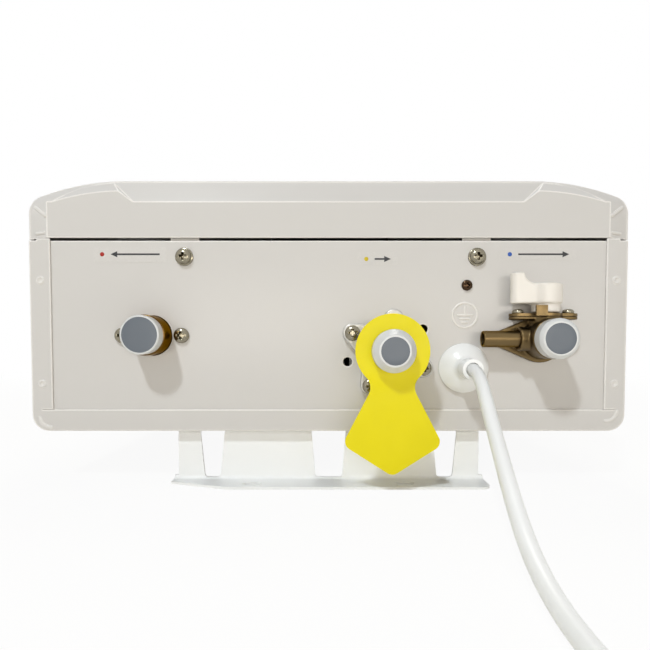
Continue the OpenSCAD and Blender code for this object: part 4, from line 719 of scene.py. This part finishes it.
class HEATER_OT_press_marks(HeaterOperator, bpy.types.Operator):
    """Presses the clinch points and the drawn corners into tray and cover, painted paler as a highlight"""
    bl_idname = "heater.press_marks"
    bl_label = "Press marks"

    # Radius and height of a clinch point's profile, in millimetres
    CLINCH = [(2.7, 0), (2.3, 0.25), (1.9, 0.55), (1.5, 0.5), (1.2, 0.06), (0, 0.02)]
    CLINCH_X = 172 * MM
    CLINCH_Z = (60.5 * MM, 122.4 * MM)
    TRAY_CORNER_X = 167.1 * MM
    # The bead's height in the left and in the right corner
    TRAY_CORNER_Z = {-1: 41 * MM, 1: 45 * MM}
    TRAY_SWEEP = 7 * MM
    TRAY_ANGLES = range(270, 351, 10)
    # Half width and rise of the bead
    TRAY_BEAD = (1.2 * MM, 0.45 * MM)
    # Start, end and half width of a ridge in X and Z, in millimetres
    COVER_RIDGES = (((168.6, 160.8), (176.2, 166.4), 1.2), ((169.5, 150.8), (175.5, 150.8), 1))
    # Rise of a ridge as a share of its half width
    RIDGE_RISE = 0.6
    RIDGE_STEPS = 5
    CLEAR_OF_COVER = 20 * MM
    # The marks' coat is painted paler by this factor, as a highlight
    FOLD_HIGHLIGHT_TONE = 1.14

    def clinch_points(self, bm, low, high):
        """Round marks where the tray's corners are clinched, at both ends."""
        profile = [(r * MM, h * MM) for r, h in self.CLINCH]
        for y, axis in ((low.y, OUT), (high.y, -OUT)):
            for side in (-1, 1):
                for z in self.CLINCH_Z:
                    turn(bm, profile, Vector((side * self.CLINCH_X, y, z)), axis, SMALL_STEPS)

    def tray_corners(self, bm, low, high):
        """Round beads in the lower corners of the tray's end flanges."""
        for y, axis in ((low.y, OUT), (high.y, -OUT)):
            for side in (-1, 1):
                arc = []
                for angle in self.TRAY_ANGLES:
                    a = math.radians(angle)
                    x = self.TRAY_CORNER_X + self.TRAY_SWEEP * math.cos(a)
                    z = self.TRAY_CORNER_Z[side] + self.TRAY_SWEEP * math.sin(a)
                    arc.append(Vector((side * x, y, z)))
                bead(bm, arc, *self.TRAY_BEAD, axis)

    def cover_corners(self, bm, low, high):
        """Short ridges in the drawn corners of the cover, laid on its skin."""
        mesh = bpy.data.objects["front_cover"].data
        skin = BVHTree.FromPolygons([v.co for v in mesh.vertices], [f.vertices for f in mesh.polygons])
        for y, axis in ((low.y, OUT), (high.y, -OUT)):
            for side in (-1, 1):
                for start, end, half in self.COVER_RIDGES:
                    path = []
                    for k in range(self.RIDGE_STEPS + 1):
                        x, z = (a + (b - a) * k / self.RIDGE_STEPS for a, b in zip(start, end))
                        spot = Vector((side * x * MM, y, z * MM)) + axis * self.CLEAR_OF_COVER
                        place, normal, _, _ = skin.ray_cast(spot, -axis)
                        path.append(place)
                    bead(bm, path, half * MM, half * self.RIDGE_RISE * MM, normal)

    def execute(self, context):
        # A paler copy of the coat: painted highlight on the pressed marks
        fold_highlight = powder_coat("fold_highlight_coat", shaded(colours().coat, self.FOLD_HIGHLIGHT_TONE))
        for name, marks, node in (("clinch_points", self.clinch_points, "rear_casing"),
                                  ("tray_corners", self.tray_corners, "rear_casing"),
                                  ("cover_corners", self.cover_corners, "front_cover")):
            mesh = mesh_of(lambda bm, m=marks, n=node: m(bm, *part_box(n)), name)
            piece(name, mesh, "heater", fold_highlight)
        return {"FINISHED"}


class HEATER_OT_earth_sign(HeaterOperator, bpy.types.Operator):
    """Embosses the earth sign beside the cord and paints it paler as a highlight"""
    bl_idname = "heater.earth_sign"
    bl_label = "Earth sign"

    CENTRE_X = 81.8 * MM
    CENTRE_Z = 101.7 * MM
    RING_RADIUS = 7.4 * MM
    RING_STEPS = 64
    RING_HALF = 0.7 * MM
    BAR_HALF = 0.6 * MM
    # Heights along the upright, then height and half length of each bar, in millimetres
    UPRIGHT = (5, 2.5, 0.6)
    BARS = ((0, 4.4), (-2.2, 2.9), (-4.4, 1.4))
    # The sign's coat is painted paler by this factor, as a highlight
    SIGN_HIGHLIGHT_TONE = 1.3

    def execute(self, context):
        centre = Vector((self.CENTRE_X, PANEL_Y, self.CENTRE_Z))
        height = sizes().emboss

        def at(x, z):
            return centre + Vector((x * MM, 0, z * MM))

        def build(bm):
            ring = [centre + self.RING_RADIUS * Vector((math.cos(a), 0, math.sin(a)))
                    for a in (2 * math.pi * i / self.RING_STEPS for i in range(self.RING_STEPS))]
            bead(bm, ring, self.RING_HALF, height, OUT, closed=True)
            bead(bm, [at(0, z) for z in self.UPRIGHT], self.BAR_HALF, height, OUT)
            for z, half in self.BARS:
                bead(bm, [at(-half, z), at(0, z), at(half, z)], self.BAR_HALF, height, OUT)

        # A paler copy of the coat: painted highlight on the embossed sign
        raised = powder_coat("sign_highlight_coat", shaded(colours().coat, self.SIGN_HIGHLIGHT_TONE))
        piece("earth_sign", mesh_of(build, "earth_sign"), "heater", raised)
        return {"FINISHED"}


class HEATER_OT_labels(HeaterOperator, bpy.types.Operator):
    """Sticks the plain strips with a coloured dot over the three pipe ends"""
    bl_idname = "heater.labels"
    bl_label = "Label strips"

    # In millimetres: ends in X, edges in Z and the dot's place, then its colour and the way the arrow points
    STRIPS = {
        "hot": ((-140.6, -96.9), (133.2, 142.4), (-135.3, 138.0), srgb(172, 44, 36), -1),
        "gas": ((16.6, 41.3), (131.6, 139.3), (22.6, 135.2), srgb(214, 190, 46), 1),
        "cold": ((102, 147.9), (134.5, 141.8), (108.4, 138.0), srgb(58, 96, 176), 1),
    }
    PAPER_TONE = 1.03
    # In millimetres, as the strips are
    CORNER = 1.2
    ARROW_GAP = 5
    ARROW_END = 4
    HEAD_LONG = 4
    HEAD_HALF = 1.8
    SHAFT_HALF = 0.5
    # In metres
    PAPER_THICK = 0.1 * MM
    INK_THICK = 0.05 * MM
    DOT = [(1.3 * MM, 0), (1.25 * MM, 0.06 * MM), (0, 0.07 * MM)]

    def arrow(self, tail, tip, z, flow):
        """Outline of an arrow between two places in X that points the way of the flow."""
        half, wide = self.SHAFT_HALF, self.HEAD_HALF
        head = tip - self.HEAD_LONG
        shape = [(tail, half), (tail, -half), (head, -half), (head, -wide),
                 (tip, 0), (head, wide), (head, half)]
        if flow < 0:
            shape = [(tail + tip - x, rise) for x, rise in shape]
        return [(x * MM, (rise + z) * MM) for x, rise in shape]

    def execute(self, context):
        paper = printed_ink("label_paper", shaded(colours().coat, self.PAPER_TONE))
        dark = printed_ink("label_dark", srgb(60, 60, 62))
        face = PANEL_Y - self.PAPER_THICK
        for name, (ends, edges, (dot_x, dot_z), colour, flow) in self.STRIPS.items():
            outline = [(x * MM, z * MM) for x, z in rounded_outline(*ends, *edges, self.CORNER)]
            strip = mesh_of(lambda bm, o=outline: slab(bm, o, PANEL_Y, self.PAPER_THICK), name + "_label")
            piece(name + "_label", strip, "heater", paper, smooth=False)
            place = Vector((dot_x * MM, face, dot_z * MM))
            dot = mesh_of(lambda bm, p=place: turn(bm, self.DOT, p, OUT, SMALL_STEPS), name + "_dot")
            piece(name + "_dot", dot, "heater", printed_ink(name + "_ink", colour))
            arrow = self.arrow(dot_x + self.ARROW_GAP, ends[1] - self.ARROW_END, dot_z, flow)
            mark = mesh_of(lambda bm, a=arrow: slab(bm, a, face, self.INK_THICK), name + "_arrow")
            piece(name + "_arrow", mark, "heater", dark, smooth=False)
        return {"FINISHED"}


class HEATER_OT_screws(HeaterOperator, bpy.types.Operator):
    """Makes the pan head screws with their cross recesses"""
    bl_idname = "heater.screws"
    bl_label = "Screws"

    # Radius and height of the head and radius of the shank
    BIG = (4.6 * MM, 3.2 * MM, 2.1 * MM)
    SMALL = (3.3 * MM, 2.8 * MM, 1.6 * MM)
    EARTH_HEAD = 3.25 * MM
    EARTH_SHANK = 1.6 * MM
    # Radius and thickness of a washer
    WASHER = (5.4 * MM, 0.8 * MM)
    WASHER_ROUND = 0.2 * MM
    WASHER_FOOT = 0.15 * MM
    WASHER_GAP = 0.02 * MM
    WASHER_BORE = 2 * MM
    # Bore of the lower washers as a share of the head's radius
    BORE_SHARE = 0.6
    # How long the shanks are
    COVER_SHANK = 6 * MM
    HOT_SHANK = 5 * MM
    GAS_SHANK = 8 * MM
    BONNET_SHANK = 3.5 * MM
    EARTH_DEPTH = 4 * MM
    # Where the screws stand about their pipe ends
    HOT_REACH = 17.7 * MM
    LOBE_REACH = 23.6 * MM
    LOBE_ANGLES = (154, 243, 334)
    LOBE_THICK = 4 * MM
    BONNET_REACH = 14.6 * MM
    # Shares of the head that the cross recess takes: its reach, its width and its depth
    CROSS = (0.56, 0.2, 1.15)
    TURN_STEPS = 40

    def turned(self, profile, places, axis):
        """A function that fills a bmesh with the profile turned at each place."""
        def build(bm):
            for place in places:
                turn(bm, profile, place, axis, self.TURN_STEPS)
        return build

    def make(self, name, places, axis, head, shank_l, finish, washer=None):
        """Screws with cross recesses that replace a node, and their washers if they have them."""
        head_r, head_h, shank_r = head
        low = washer[1] if washer else 0
        profile = pan_head(head_r, head_h, shank_r, shank_l, low)
        mesh = mesh_of(self.turned(profile, places, axis), name)
        screws = piece(name + "_cross", mesh, "heater", finish)
        heads = [place + axis * (low + head_h) for place in places]
        reach, width, depth = self.CROSS
        cut_cross(screws, heads, axis, head_r * reach, head_r * width, head_h * depth)
        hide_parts(name)
        if washer:
            radius, thick = washer
            bore, edge, foot = head_r * self.BORE_SHARE, self.WASHER_ROUND, self.WASHER_GAP
            ring = [(bore, foot), (radius - self.WASHER_FOOT, foot), (radius, edge),
                    (radius, thick - edge), (radius - edge, thick), (bore, thick)]
            mesh = mesh_of(self.turned(ring, places, axis), name + "_washers")
            piece(name + "_washers", mesh, "heater", finish)

    def top_pair(self, places, finish):
        """The two cover screws of the upper end, with their washers."""
        profile = pan_head(*self.BIG, self.COVER_SHANK, self.WASHER[1])
        radius, thick = self.WASHER
        bore = self.WASHER_BORE
        ring = [(bore, 0), (radius, 0), (radius, thick), (bore, thick)]

        def build(bm):
            for place in places:
                turn(bm, profile, place, -OUT, self.TURN_STEPS)
                turn(bm, ring, place, -OUT, self.TURN_STEPS)

        pair = piece("top_cover_screws", mesh_of(build, "top_cover_screws"), "heater", finish)
        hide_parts("cover_screws")

    def cover(self, finish):
        """The screws that hold the cover at both ends."""
        low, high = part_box("cover_screws")
        centre = middle("cover_screws")
        reach = (high.x - low.x) / 2 - self.WASHER[0]
        lower, upper = ([Vector((centre.x + side * reach, y, centre.z)) for side in (-1, 1)]
                        for y in (PANEL_Y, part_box("top_panel")[1].y))
        self.make("cover_screws", lower, OUT, self.BIG, self.COVER_SHANK, finish, self.WASHER)
        self.top_pair(upper, finish)

    def execute(self, context):
        nickel = plated_screw("screw_nickel", srgb(156, 149, 130))
        bronze = plated_screw("screw_bronze", srgb(78, 61, 45))
        self.cover(nickel)
        beside = [Vector((HOT.x + side * self.HOT_REACH, PANEL_Y, HOT.z)) for side in (-1, 1)]
        self.make("hot_outlet_screws", beside, OUT, self.BIG, self.HOT_SHANK, nickel)
        face = Vector((GAS.x, PANEL_Y - self.LOBE_THICK, GAS.z))
        lobes = [face + self.LOBE_REACH * Vector((math.cos(a), 0, math.sin(a)))
                 for a in map(math.radians, self.LOBE_ANGLES)]
        self.make("gas_inlet_screws", lobes, OUT, self.BIG, self.GAS_SHANK, nickel)
        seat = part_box("bonnet_screws")[1].z - self.SMALL[1]
        bonnet_x = middle("bonnet_screws").x
        caps = [Vector((bonnet_x + side * self.BONNET_REACH, KNOB.y, seat)) for side in (-1, 1)]
        self.make("bonnet_screws", caps, UP, self.SMALL, self.BONNET_SHANK, nickel)
        earth = middle("earth_screw")
        head = (self.EARTH_HEAD, PANEL_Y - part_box("earth_screw")[0].y, self.EARTH_SHANK)
        self.make("earth_screw", [Vector((earth.x, PANEL_Y, earth.z))], OUT, head, self.EARTH_DEPTH, bronze)
        soften(paint("flue_screws", nickel))
        paint("cold_valve_screws", nickel)
        return {"FINISHED"}


class HEATER_OT_pipe_ends(HeaterOperator, bpy.types.Operator):
    """Finishes the hot outlet, the gas inlet and the cold inlet valve"""
    bl_idname = "heater.pipe_ends"
    bl_label = "Pipe ends"

    # Rings along the outlet's axis and streaks along the drain tube
    OUTLET_RINGS = (0.3, 2, 0.3)
    TUBE_STREAKS = (0.12, 1.5, 1.5)
    TUBE_TONE = 1.5
    TUBE_SHEEN = (0.3, 0.4)
    VALVE_PASSES = 6
    INLET_PASSES = 5

    def execute(self, context):
        brass = cast_brass("valve_brass", colours().brass)
        turned = turned_brass("turned_brass", srgb(118, 88, 42), self.OUTLET_RINGS)
        pale = shaded(colours().brass, self.TUBE_TONE)
        tube = turned_brass("tube_brass", pale, self.TUBE_STREAKS, self.TUBE_SHEEN)
        soften(paint("hot_outlet", turned), PIPE_ROUND)
        cast_round(paint("cold_valve_body", brass), sizes().cast_grain, self.VALVE_PASSES)
        soften(paint("valve_bonnet", brass))
        soften(paint("drain_tube", tube))
        paint("valve_stem", tube)
        alloy = cast_alloy("gas_alloy", srgb(176, 174, 168))
        cast_round(paint("gas_inlet", alloy), sizes().cast_grain, self.INLET_PASSES)
        return {"FINISHED"}


class HEATER_OT_knob(HeaterOperator, bpy.types.Operator):
    """Moulds the lever knob of the cold inlet valve"""
    bl_idname = "heater.knob"
    bl_label = "Valve knob"

    GRAIN = 0.36 * MM
    PASSES = 40

    def execute(self, context):
        ivory = moulded_plastic("knob_ivory", colours().knob)
        cast_round(paint("valve_knob", ivory), self.GRAIN, self.PASSES)
        return {"FINISHED"}


class HEATER_OT_dust_caps(HeaterOperator, bpy.types.Operator):
    """Finishes the shipping caps and the thin disc in the nose of each"""
    bl_idname = "heater.dust_caps"
    bl_label = "Dust caps"

    NOSE_RADIUS = {"hot": 10.2 * MM, "gas": 7.7 * MM, "cold": 8.6 * MM}
    NOSE_THICK = 0.06 * MM
    NOSE_EDGE = (0.3 * MM, 0.05 * MM)
    NOSE_FLAT = 0.6
    NOSE_SUNK = 0.02 * MM

    def execute(self, context):
        milky = milky_plastic("cap_plastic", srgb(234, 234, 232))
        grey = moulded_plastic("cap_nose", srgb(99, 106, 114), rough=0.32, grain=3 * MM, depth=0.02 * MM)
        inset, step = self.NOSE_EDGE
        for name, radius in self.NOSE_RADIUS.items():
            soften(paint(name + "_dust_cap", milky), CAP_ROUND, 3)
            centre = middle(name + "_dust_cap")
            place = Vector((centre.x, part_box(name + "_dust_cap")[0].y + self.NOSE_SUNK, centre.z))
            flat = radius * self.NOSE_FLAT
            disc = [(radius, 0), (radius - inset, step), (flat, self.NOSE_THICK), (0, self.NOSE_THICK)]
            nose = mesh_of(lambda bm, d=disc, p=place: turn(bm, d, p), name + "_cap_nose")
            piece(name + "_cap_nose", nose, name + "_cap", grey)
        return {"FINISHED"}


class HEATER_OT_gas_tag(HeaterOperator, bpy.types.Operator):
    """Finishes the yellow hang tag"""
    bl_idname = "heater.gas_tag"
    bl_label = "Gas tag"

    def execute(self, context):
        soften(paint("gas_tag", tag_card("tag_card", colours().tag)), CARD_ROUND)
        return {"FINISHED"}


class HEATER_OT_brackets(HeaterOperator, bpy.types.Operator):
    """Coats the two wall brackets"""
    bl_idname = "heater.brackets"
    bl_label = "Wall brackets"

    def execute(self, context):
        coat = powder_coat("bracket_coat", colours().bracket, gloss=0.1)
        for name in ("wall_bracket_lower", "wall_bracket_upper"):
            soften(paint(name, coat), sizes().sheet_round)
        return {"FINISHED"}


class HEATER_OT_display(HeaterOperator, bpy.types.Operator):
    """Finishes the touch display in the front"""
    bl_idname = "heater.display"
    bl_label = "Display"

    KEY_X = (-26 * MM, 0, 26 * MM)
    KEY_DROP = 10 * MM
    KEY_RADIUS = 3.2 * MM
    KEY_STEPS = 40
    LINE_HALF = 0.3 * MM
    LINE_RISE = 0.05 * MM

    def execute(self, context):
        soften(paint("display_lens", lens_glass("lens_glass")))
        paint("display_housing", moulded_plastic("housing_grey", srgb(90, 92, 95), rough=0.5))
        centre = middle("display_lens")
        ink = printed_ink("key_mark", srgb(170, 175, 180))

        def build(bm):
            for x in self.KEY_X:
                spot = Vector((centre.x + x, centre.y - self.KEY_DROP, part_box("display_lens")[1].z))
                ring = [spot + self.KEY_RADIUS * Vector((math.cos(a), math.sin(a), 0))
                        for a in (2 * math.pi * i / self.KEY_STEPS for i in range(self.KEY_STEPS))]
                bead(bm, ring, self.LINE_HALF, self.LINE_RISE, UP, closed=True, sides=4)

        piece("key_marks", mesh_of(build, "key_marks"), "heater", ink)
        return {"FINISHED"}


class HEATER_OT_flue(HeaterOperator, bpy.types.Operator):
    """Finishes the flue collar and its gasket"""
    bl_idname = "heater.flue"
    bl_label = "Flue"

    def execute(self, context):
        soften(paint("flue_collar", rolled_metal("flue_zinc", srgb(186, 188, 188), spangle=10 * MM)))
        rubber = moulded_plastic("gasket_black", srgb(40, 40, 41), rough=0.7, grain=0.8 * MM, depth=0.05 * MM)
        paint("flue_gasket", rubber)
        return {"FINISHED"}


class HEATER_OT_inner_parts(HeaterOperator, bpy.types.Operator):
    """Finishes everything inside the casing"""
    bl_idname = "heater.inner_parts"
    bl_label = "Inner parts"

    def execute(self, context):
        zinc = rolled_metal("inner_zinc", srgb(176, 178, 178))
        copper = rolled_metal("inner_copper", srgb(188, 112, 72), spangle=20 * MM)
        black = moulded_plastic("inner_black", srgb(36, 36, 38), rough=0.45)
        white = moulded_plastic("inner_white", srgb(226, 226, 222), rough=0.4)
        finishes = {
            zinc: ("combustion_chamber", "burner_tray", "burner_bars", "fan_housing", "flue_hood",
                   "control_box", "chamber_rails", "gas_riser", "gas_manifold"),
            copper: ("heat_exchanger_fins", "heat_exchanger_coil", "cold_pipe", "hot_pipe"),
            black: ("flow_sensor_body", "igniter", "gas_valve_coils", "fan_impeller"),
            white: ("flow_guides", "flow_rotor"),
            cast_alloy("inner_alloy", srgb(168, 168, 164)): ("gas_valve", "fan_motor"),
            rolled_metal("inner_steel", srgb(190, 190, 188)): ("fan_shaft",),
            turned_brass("jet_brass", srgb(190, 160, 90), (1, 1, 8)): ("gas_nozzles",),
            ceramic("inner_ceramic", srgb(232, 226, 212)): ("electrodes",),
            moulded_plastic("board_green", srgb(30, 82, 52), rough=0.35): ("control_board",),
        }
        for finish, names in finishes.items():
            for name in names:
                paint(name, finish)
        return {"FINISHED"}


class HEATER_OT_stage(HeaterOperator, bpy.types.Operator):
    """Lays the pale floor and hangs the soft light"""
    bl_idname = "heater.stage"
    bl_label = "Stage"

    KEY_TRAVEL = Vector((0.26, 0.61, -0.75))
    KEY_DISTANCE = 1.9
    FILL_PLACE = Vector((0.2, -2.3, 0.2))
    TOP_PLACE = Vector((0.2, 1, 2.4))
    # Width and height of each lamp, and its colour
    KEY_LAMP = ((0.13, 0.13), (0.86, 0.93, 1))
    FILL_LAMP = ((2, 0.3), (1, 0.94, 0.86))
    TOP_LAMP = ((1, 1), (1, 0.96, 0.89))
    WHITE = (1, 1, 1, 1)
    FLOOR_HALF = 6.0
    FLOOR_COLOUR = (0.94, 0.91, 0.84, 1)
    # How far from the middle the floor starts and ends turning white, and how white it is there
    FLOOR_FADE = (0.3, 1.1)
    FLOOR_WHITE = (0.93, 1.0)
    SKY_COLOUR = (0.98, 0.98, 0.96, 1)
    # Shares of the sky's strength at the horizon and overhead
    SKY_SHARES = (1.2, 0.4)

    @staticmethod
    def seen(tree):
        """One for rays that show the background: camera, glossy and transmission."""
        path = tree.nodes.new("ShaderNodeLightPath")
        factor = path.outputs["Is Camera Ray"]
        for ray in ("Is Glossy Ray", "Is Transmission Ray"):
            most = tree.nodes.new("ShaderNodeMath")
            most.operation = "MAXIMUM"
            tree.links.new(factor, most.inputs[0])
            tree.links.new(path.outputs[ray], most.inputs[1])
            factor = most.outputs[0]
        return factor

    def floor(self, context):
        """A pale floor that turns to pure white away from the part and keeps its shadow close by."""
        half = self.FLOOR_HALF
        mesh = bpy.data.meshes.new("floor")
        corners = [(-half, -half, 0), (half, -half, 0), (half, half, 0), (-half, half, 0)]
        mesh.from_pydata(corners, [], [(0, 1, 2, 3)])
        floor = bpy.data.objects.new("floor", mesh)
        context.scene.collection.objects.link(floor)
        material = bpy.data.materials.new("floor_white")
        material.use_nodes = True
        tree = material.node_tree
        tree.nodes.clear()
        out = tree.nodes.new("ShaderNodeOutputMaterial")
        diffuse = tree.nodes.new("ShaderNodeBsdfDiffuse")
        diffuse.inputs["Color"].default_value = self.FLOOR_COLOUR
        white = tree.nodes.new("ShaderNodeEmission")
        white.inputs["Color"].default_value = self.WHITE
        blend = tree.nodes.new("ShaderNodeMixShader")
        place = tree.nodes.new("ShaderNodeTexCoord")
        away = tree.nodes.new("ShaderNodeVectorMath")
        away.operation = "LENGTH"
        tree.links.new(place.outputs["Object"], away.inputs[0])
        share = tree.nodes.new("ShaderNodeMath")
        share.operation = "MULTIPLY"
        tree.links.new(self.seen(tree), share.inputs[0])
        fade = ranged(tree, away.outputs["Value"], *self.FLOOR_FADE, *self.FLOOR_WHITE)
        tree.links.new(fade, share.inputs[1])
        tree.links.new(share.outputs[0], blend.inputs[0])
        tree.links.new(diffuse.outputs[0], blend.inputs[1])
        tree.links.new(white.outputs[0], blend.inputs[2])
        tree.links.new(blend.outputs[0], out.inputs["Surface"])
        mesh.materials.append(material)

    def sky(self, context):
        """Soft light from all round, fainter overhead, behind a plain white backdrop."""
        level = context.scene.heater_stage.sky
        world = bpy.data.worlds.new("soft_sky")
        world.use_nodes = True
        tree = world.node_tree
        tree.nodes.clear()
        out = tree.nodes.new("ShaderNodeOutputWorld")
        light = tree.nodes.new("ShaderNodeBackground")
        light.inputs["Color"].default_value = self.SKY_COLOUR
        place = tree.nodes.new("ShaderNodeTexCoord")
        split = tree.nodes.new("ShaderNodeSeparateXYZ")
        tree.links.new(place.outputs["Generated"], split.inputs[0])
        strength = ranged(tree, split.outputs["Z"], 0, 1, *(level * share for share in self.SKY_SHARES))
        tree.links.new(strength, light.inputs["Strength"])
        white = tree.nodes.new("ShaderNodeBackground")
        white.inputs["Color"].default_value = self.WHITE
        blend = tree.nodes.new("ShaderNodeMixShader")
        tree.links.new(self.seen(tree), blend.inputs[0])
        tree.links.new(light.outputs[0], blend.inputs[1])
        tree.links.new(white.outputs[0], blend.inputs[2])
        tree.links.new(blend.outputs[0], out.inputs["Surface"])
        context.scene.world = world

    @staticmethod
    def lamp(context, name, power, kind, place, target):
        """A soft lamp at a place, aimed at a target."""
        data = bpy.data.lights.new(name, "AREA")
        data.energy = power
        data.shape = "RECTANGLE"
        (data.size, data.size_y), data.color = kind
        lamp = bpy.data.objects.new(name, data)
        lamp.location = place
        lamp.rotation_euler = (target - place).to_track_quat("-Z", "Y").to_euler()
        context.scene.collection.objects.link(lamp)

    def execute(self, context):
        look = context.scene.heater_stage
        self.floor(context)
        self.sky(context)
        target = Vector((0, PANEL_Y, middle("bottom_panel").z))
        key = target - self.KEY_TRAVEL.normalized() * self.KEY_DISTANCE
        self.lamp(context, "key", look.key, self.KEY_LAMP, key, target)
        self.lamp(context, "fill", look.fill, self.FILL_LAMP, self.FILL_PLACE, target)
        self.lamp(context, "top", look.top, self.TOP_LAMP, self.TOP_PLACE, Vector((0, 0, 0)))
        context.scene.view_settings.view_transform = "Standard"
        return {"FINISHED"}


class HEATER_PT_dressing(bpy.types.Panel):
    """Lists the steps and their sizes and colours"""
    bl_idname = "HEATER_PT_dressing"
    bl_label = "Heater dressing"
    bl_space_type = "VIEW_3D"
    bl_region_type = "UI"
    bl_category = "Heater"

    def draw(self, context):
        for step in STEPS:
            self.layout.operator(step.bl_idname)
        for group in (context.scene.heater_sizes, context.scene.heater_colours, context.scene.heater_stage):
            for name in group.bl_rna.properties.keys():
                if name not in ("rna_type", "name"):
                    self.layout.prop(group, name)


STEPS = (
    HEATER_OT_camera, HEATER_OT_mains_cord, HEATER_OT_casing, HEATER_OT_press_marks, HEATER_OT_earth_sign,
    HEATER_OT_labels, HEATER_OT_screws, HEATER_OT_pipe_ends, HEATER_OT_knob, HEATER_OT_dust_caps,
    HEATER_OT_gas_tag, HEATER_OT_brackets, HEATER_OT_display, HEATER_OT_flue, HEATER_OT_inner_parts,
    HEATER_OT_stage,
)
GROUPS = (HeaterSizes, HeaterColours, StageLook)


def register():
    for kind in GROUPS + STEPS + (HEATER_PT_dressing,):
        bpy.utils.register_class(kind)
    bpy.types.Scene.heater_sizes = PointerProperty(type=HeaterSizes)
    bpy.types.Scene.heater_colours = PointerProperty(type=HeaterColours)
    bpy.types.Scene.heater_stage = PointerProperty(type=StageLook)


def unregister():
    for name in ("heater_sizes", "heater_colours", "heater_stage"):
        delattr(bpy.types.Scene, name)
    for kind in reversed(GROUPS + STEPS + (HEATER_PT_dressing,)):
        bpy.utils.unregister_class(kind)


def main():
    register()
    for step in STEPS:
        group, name = step.bl_idname.split(".")
        getattr(getattr(bpy.ops, group), name)()


if __name__ == "__main__":
    main()
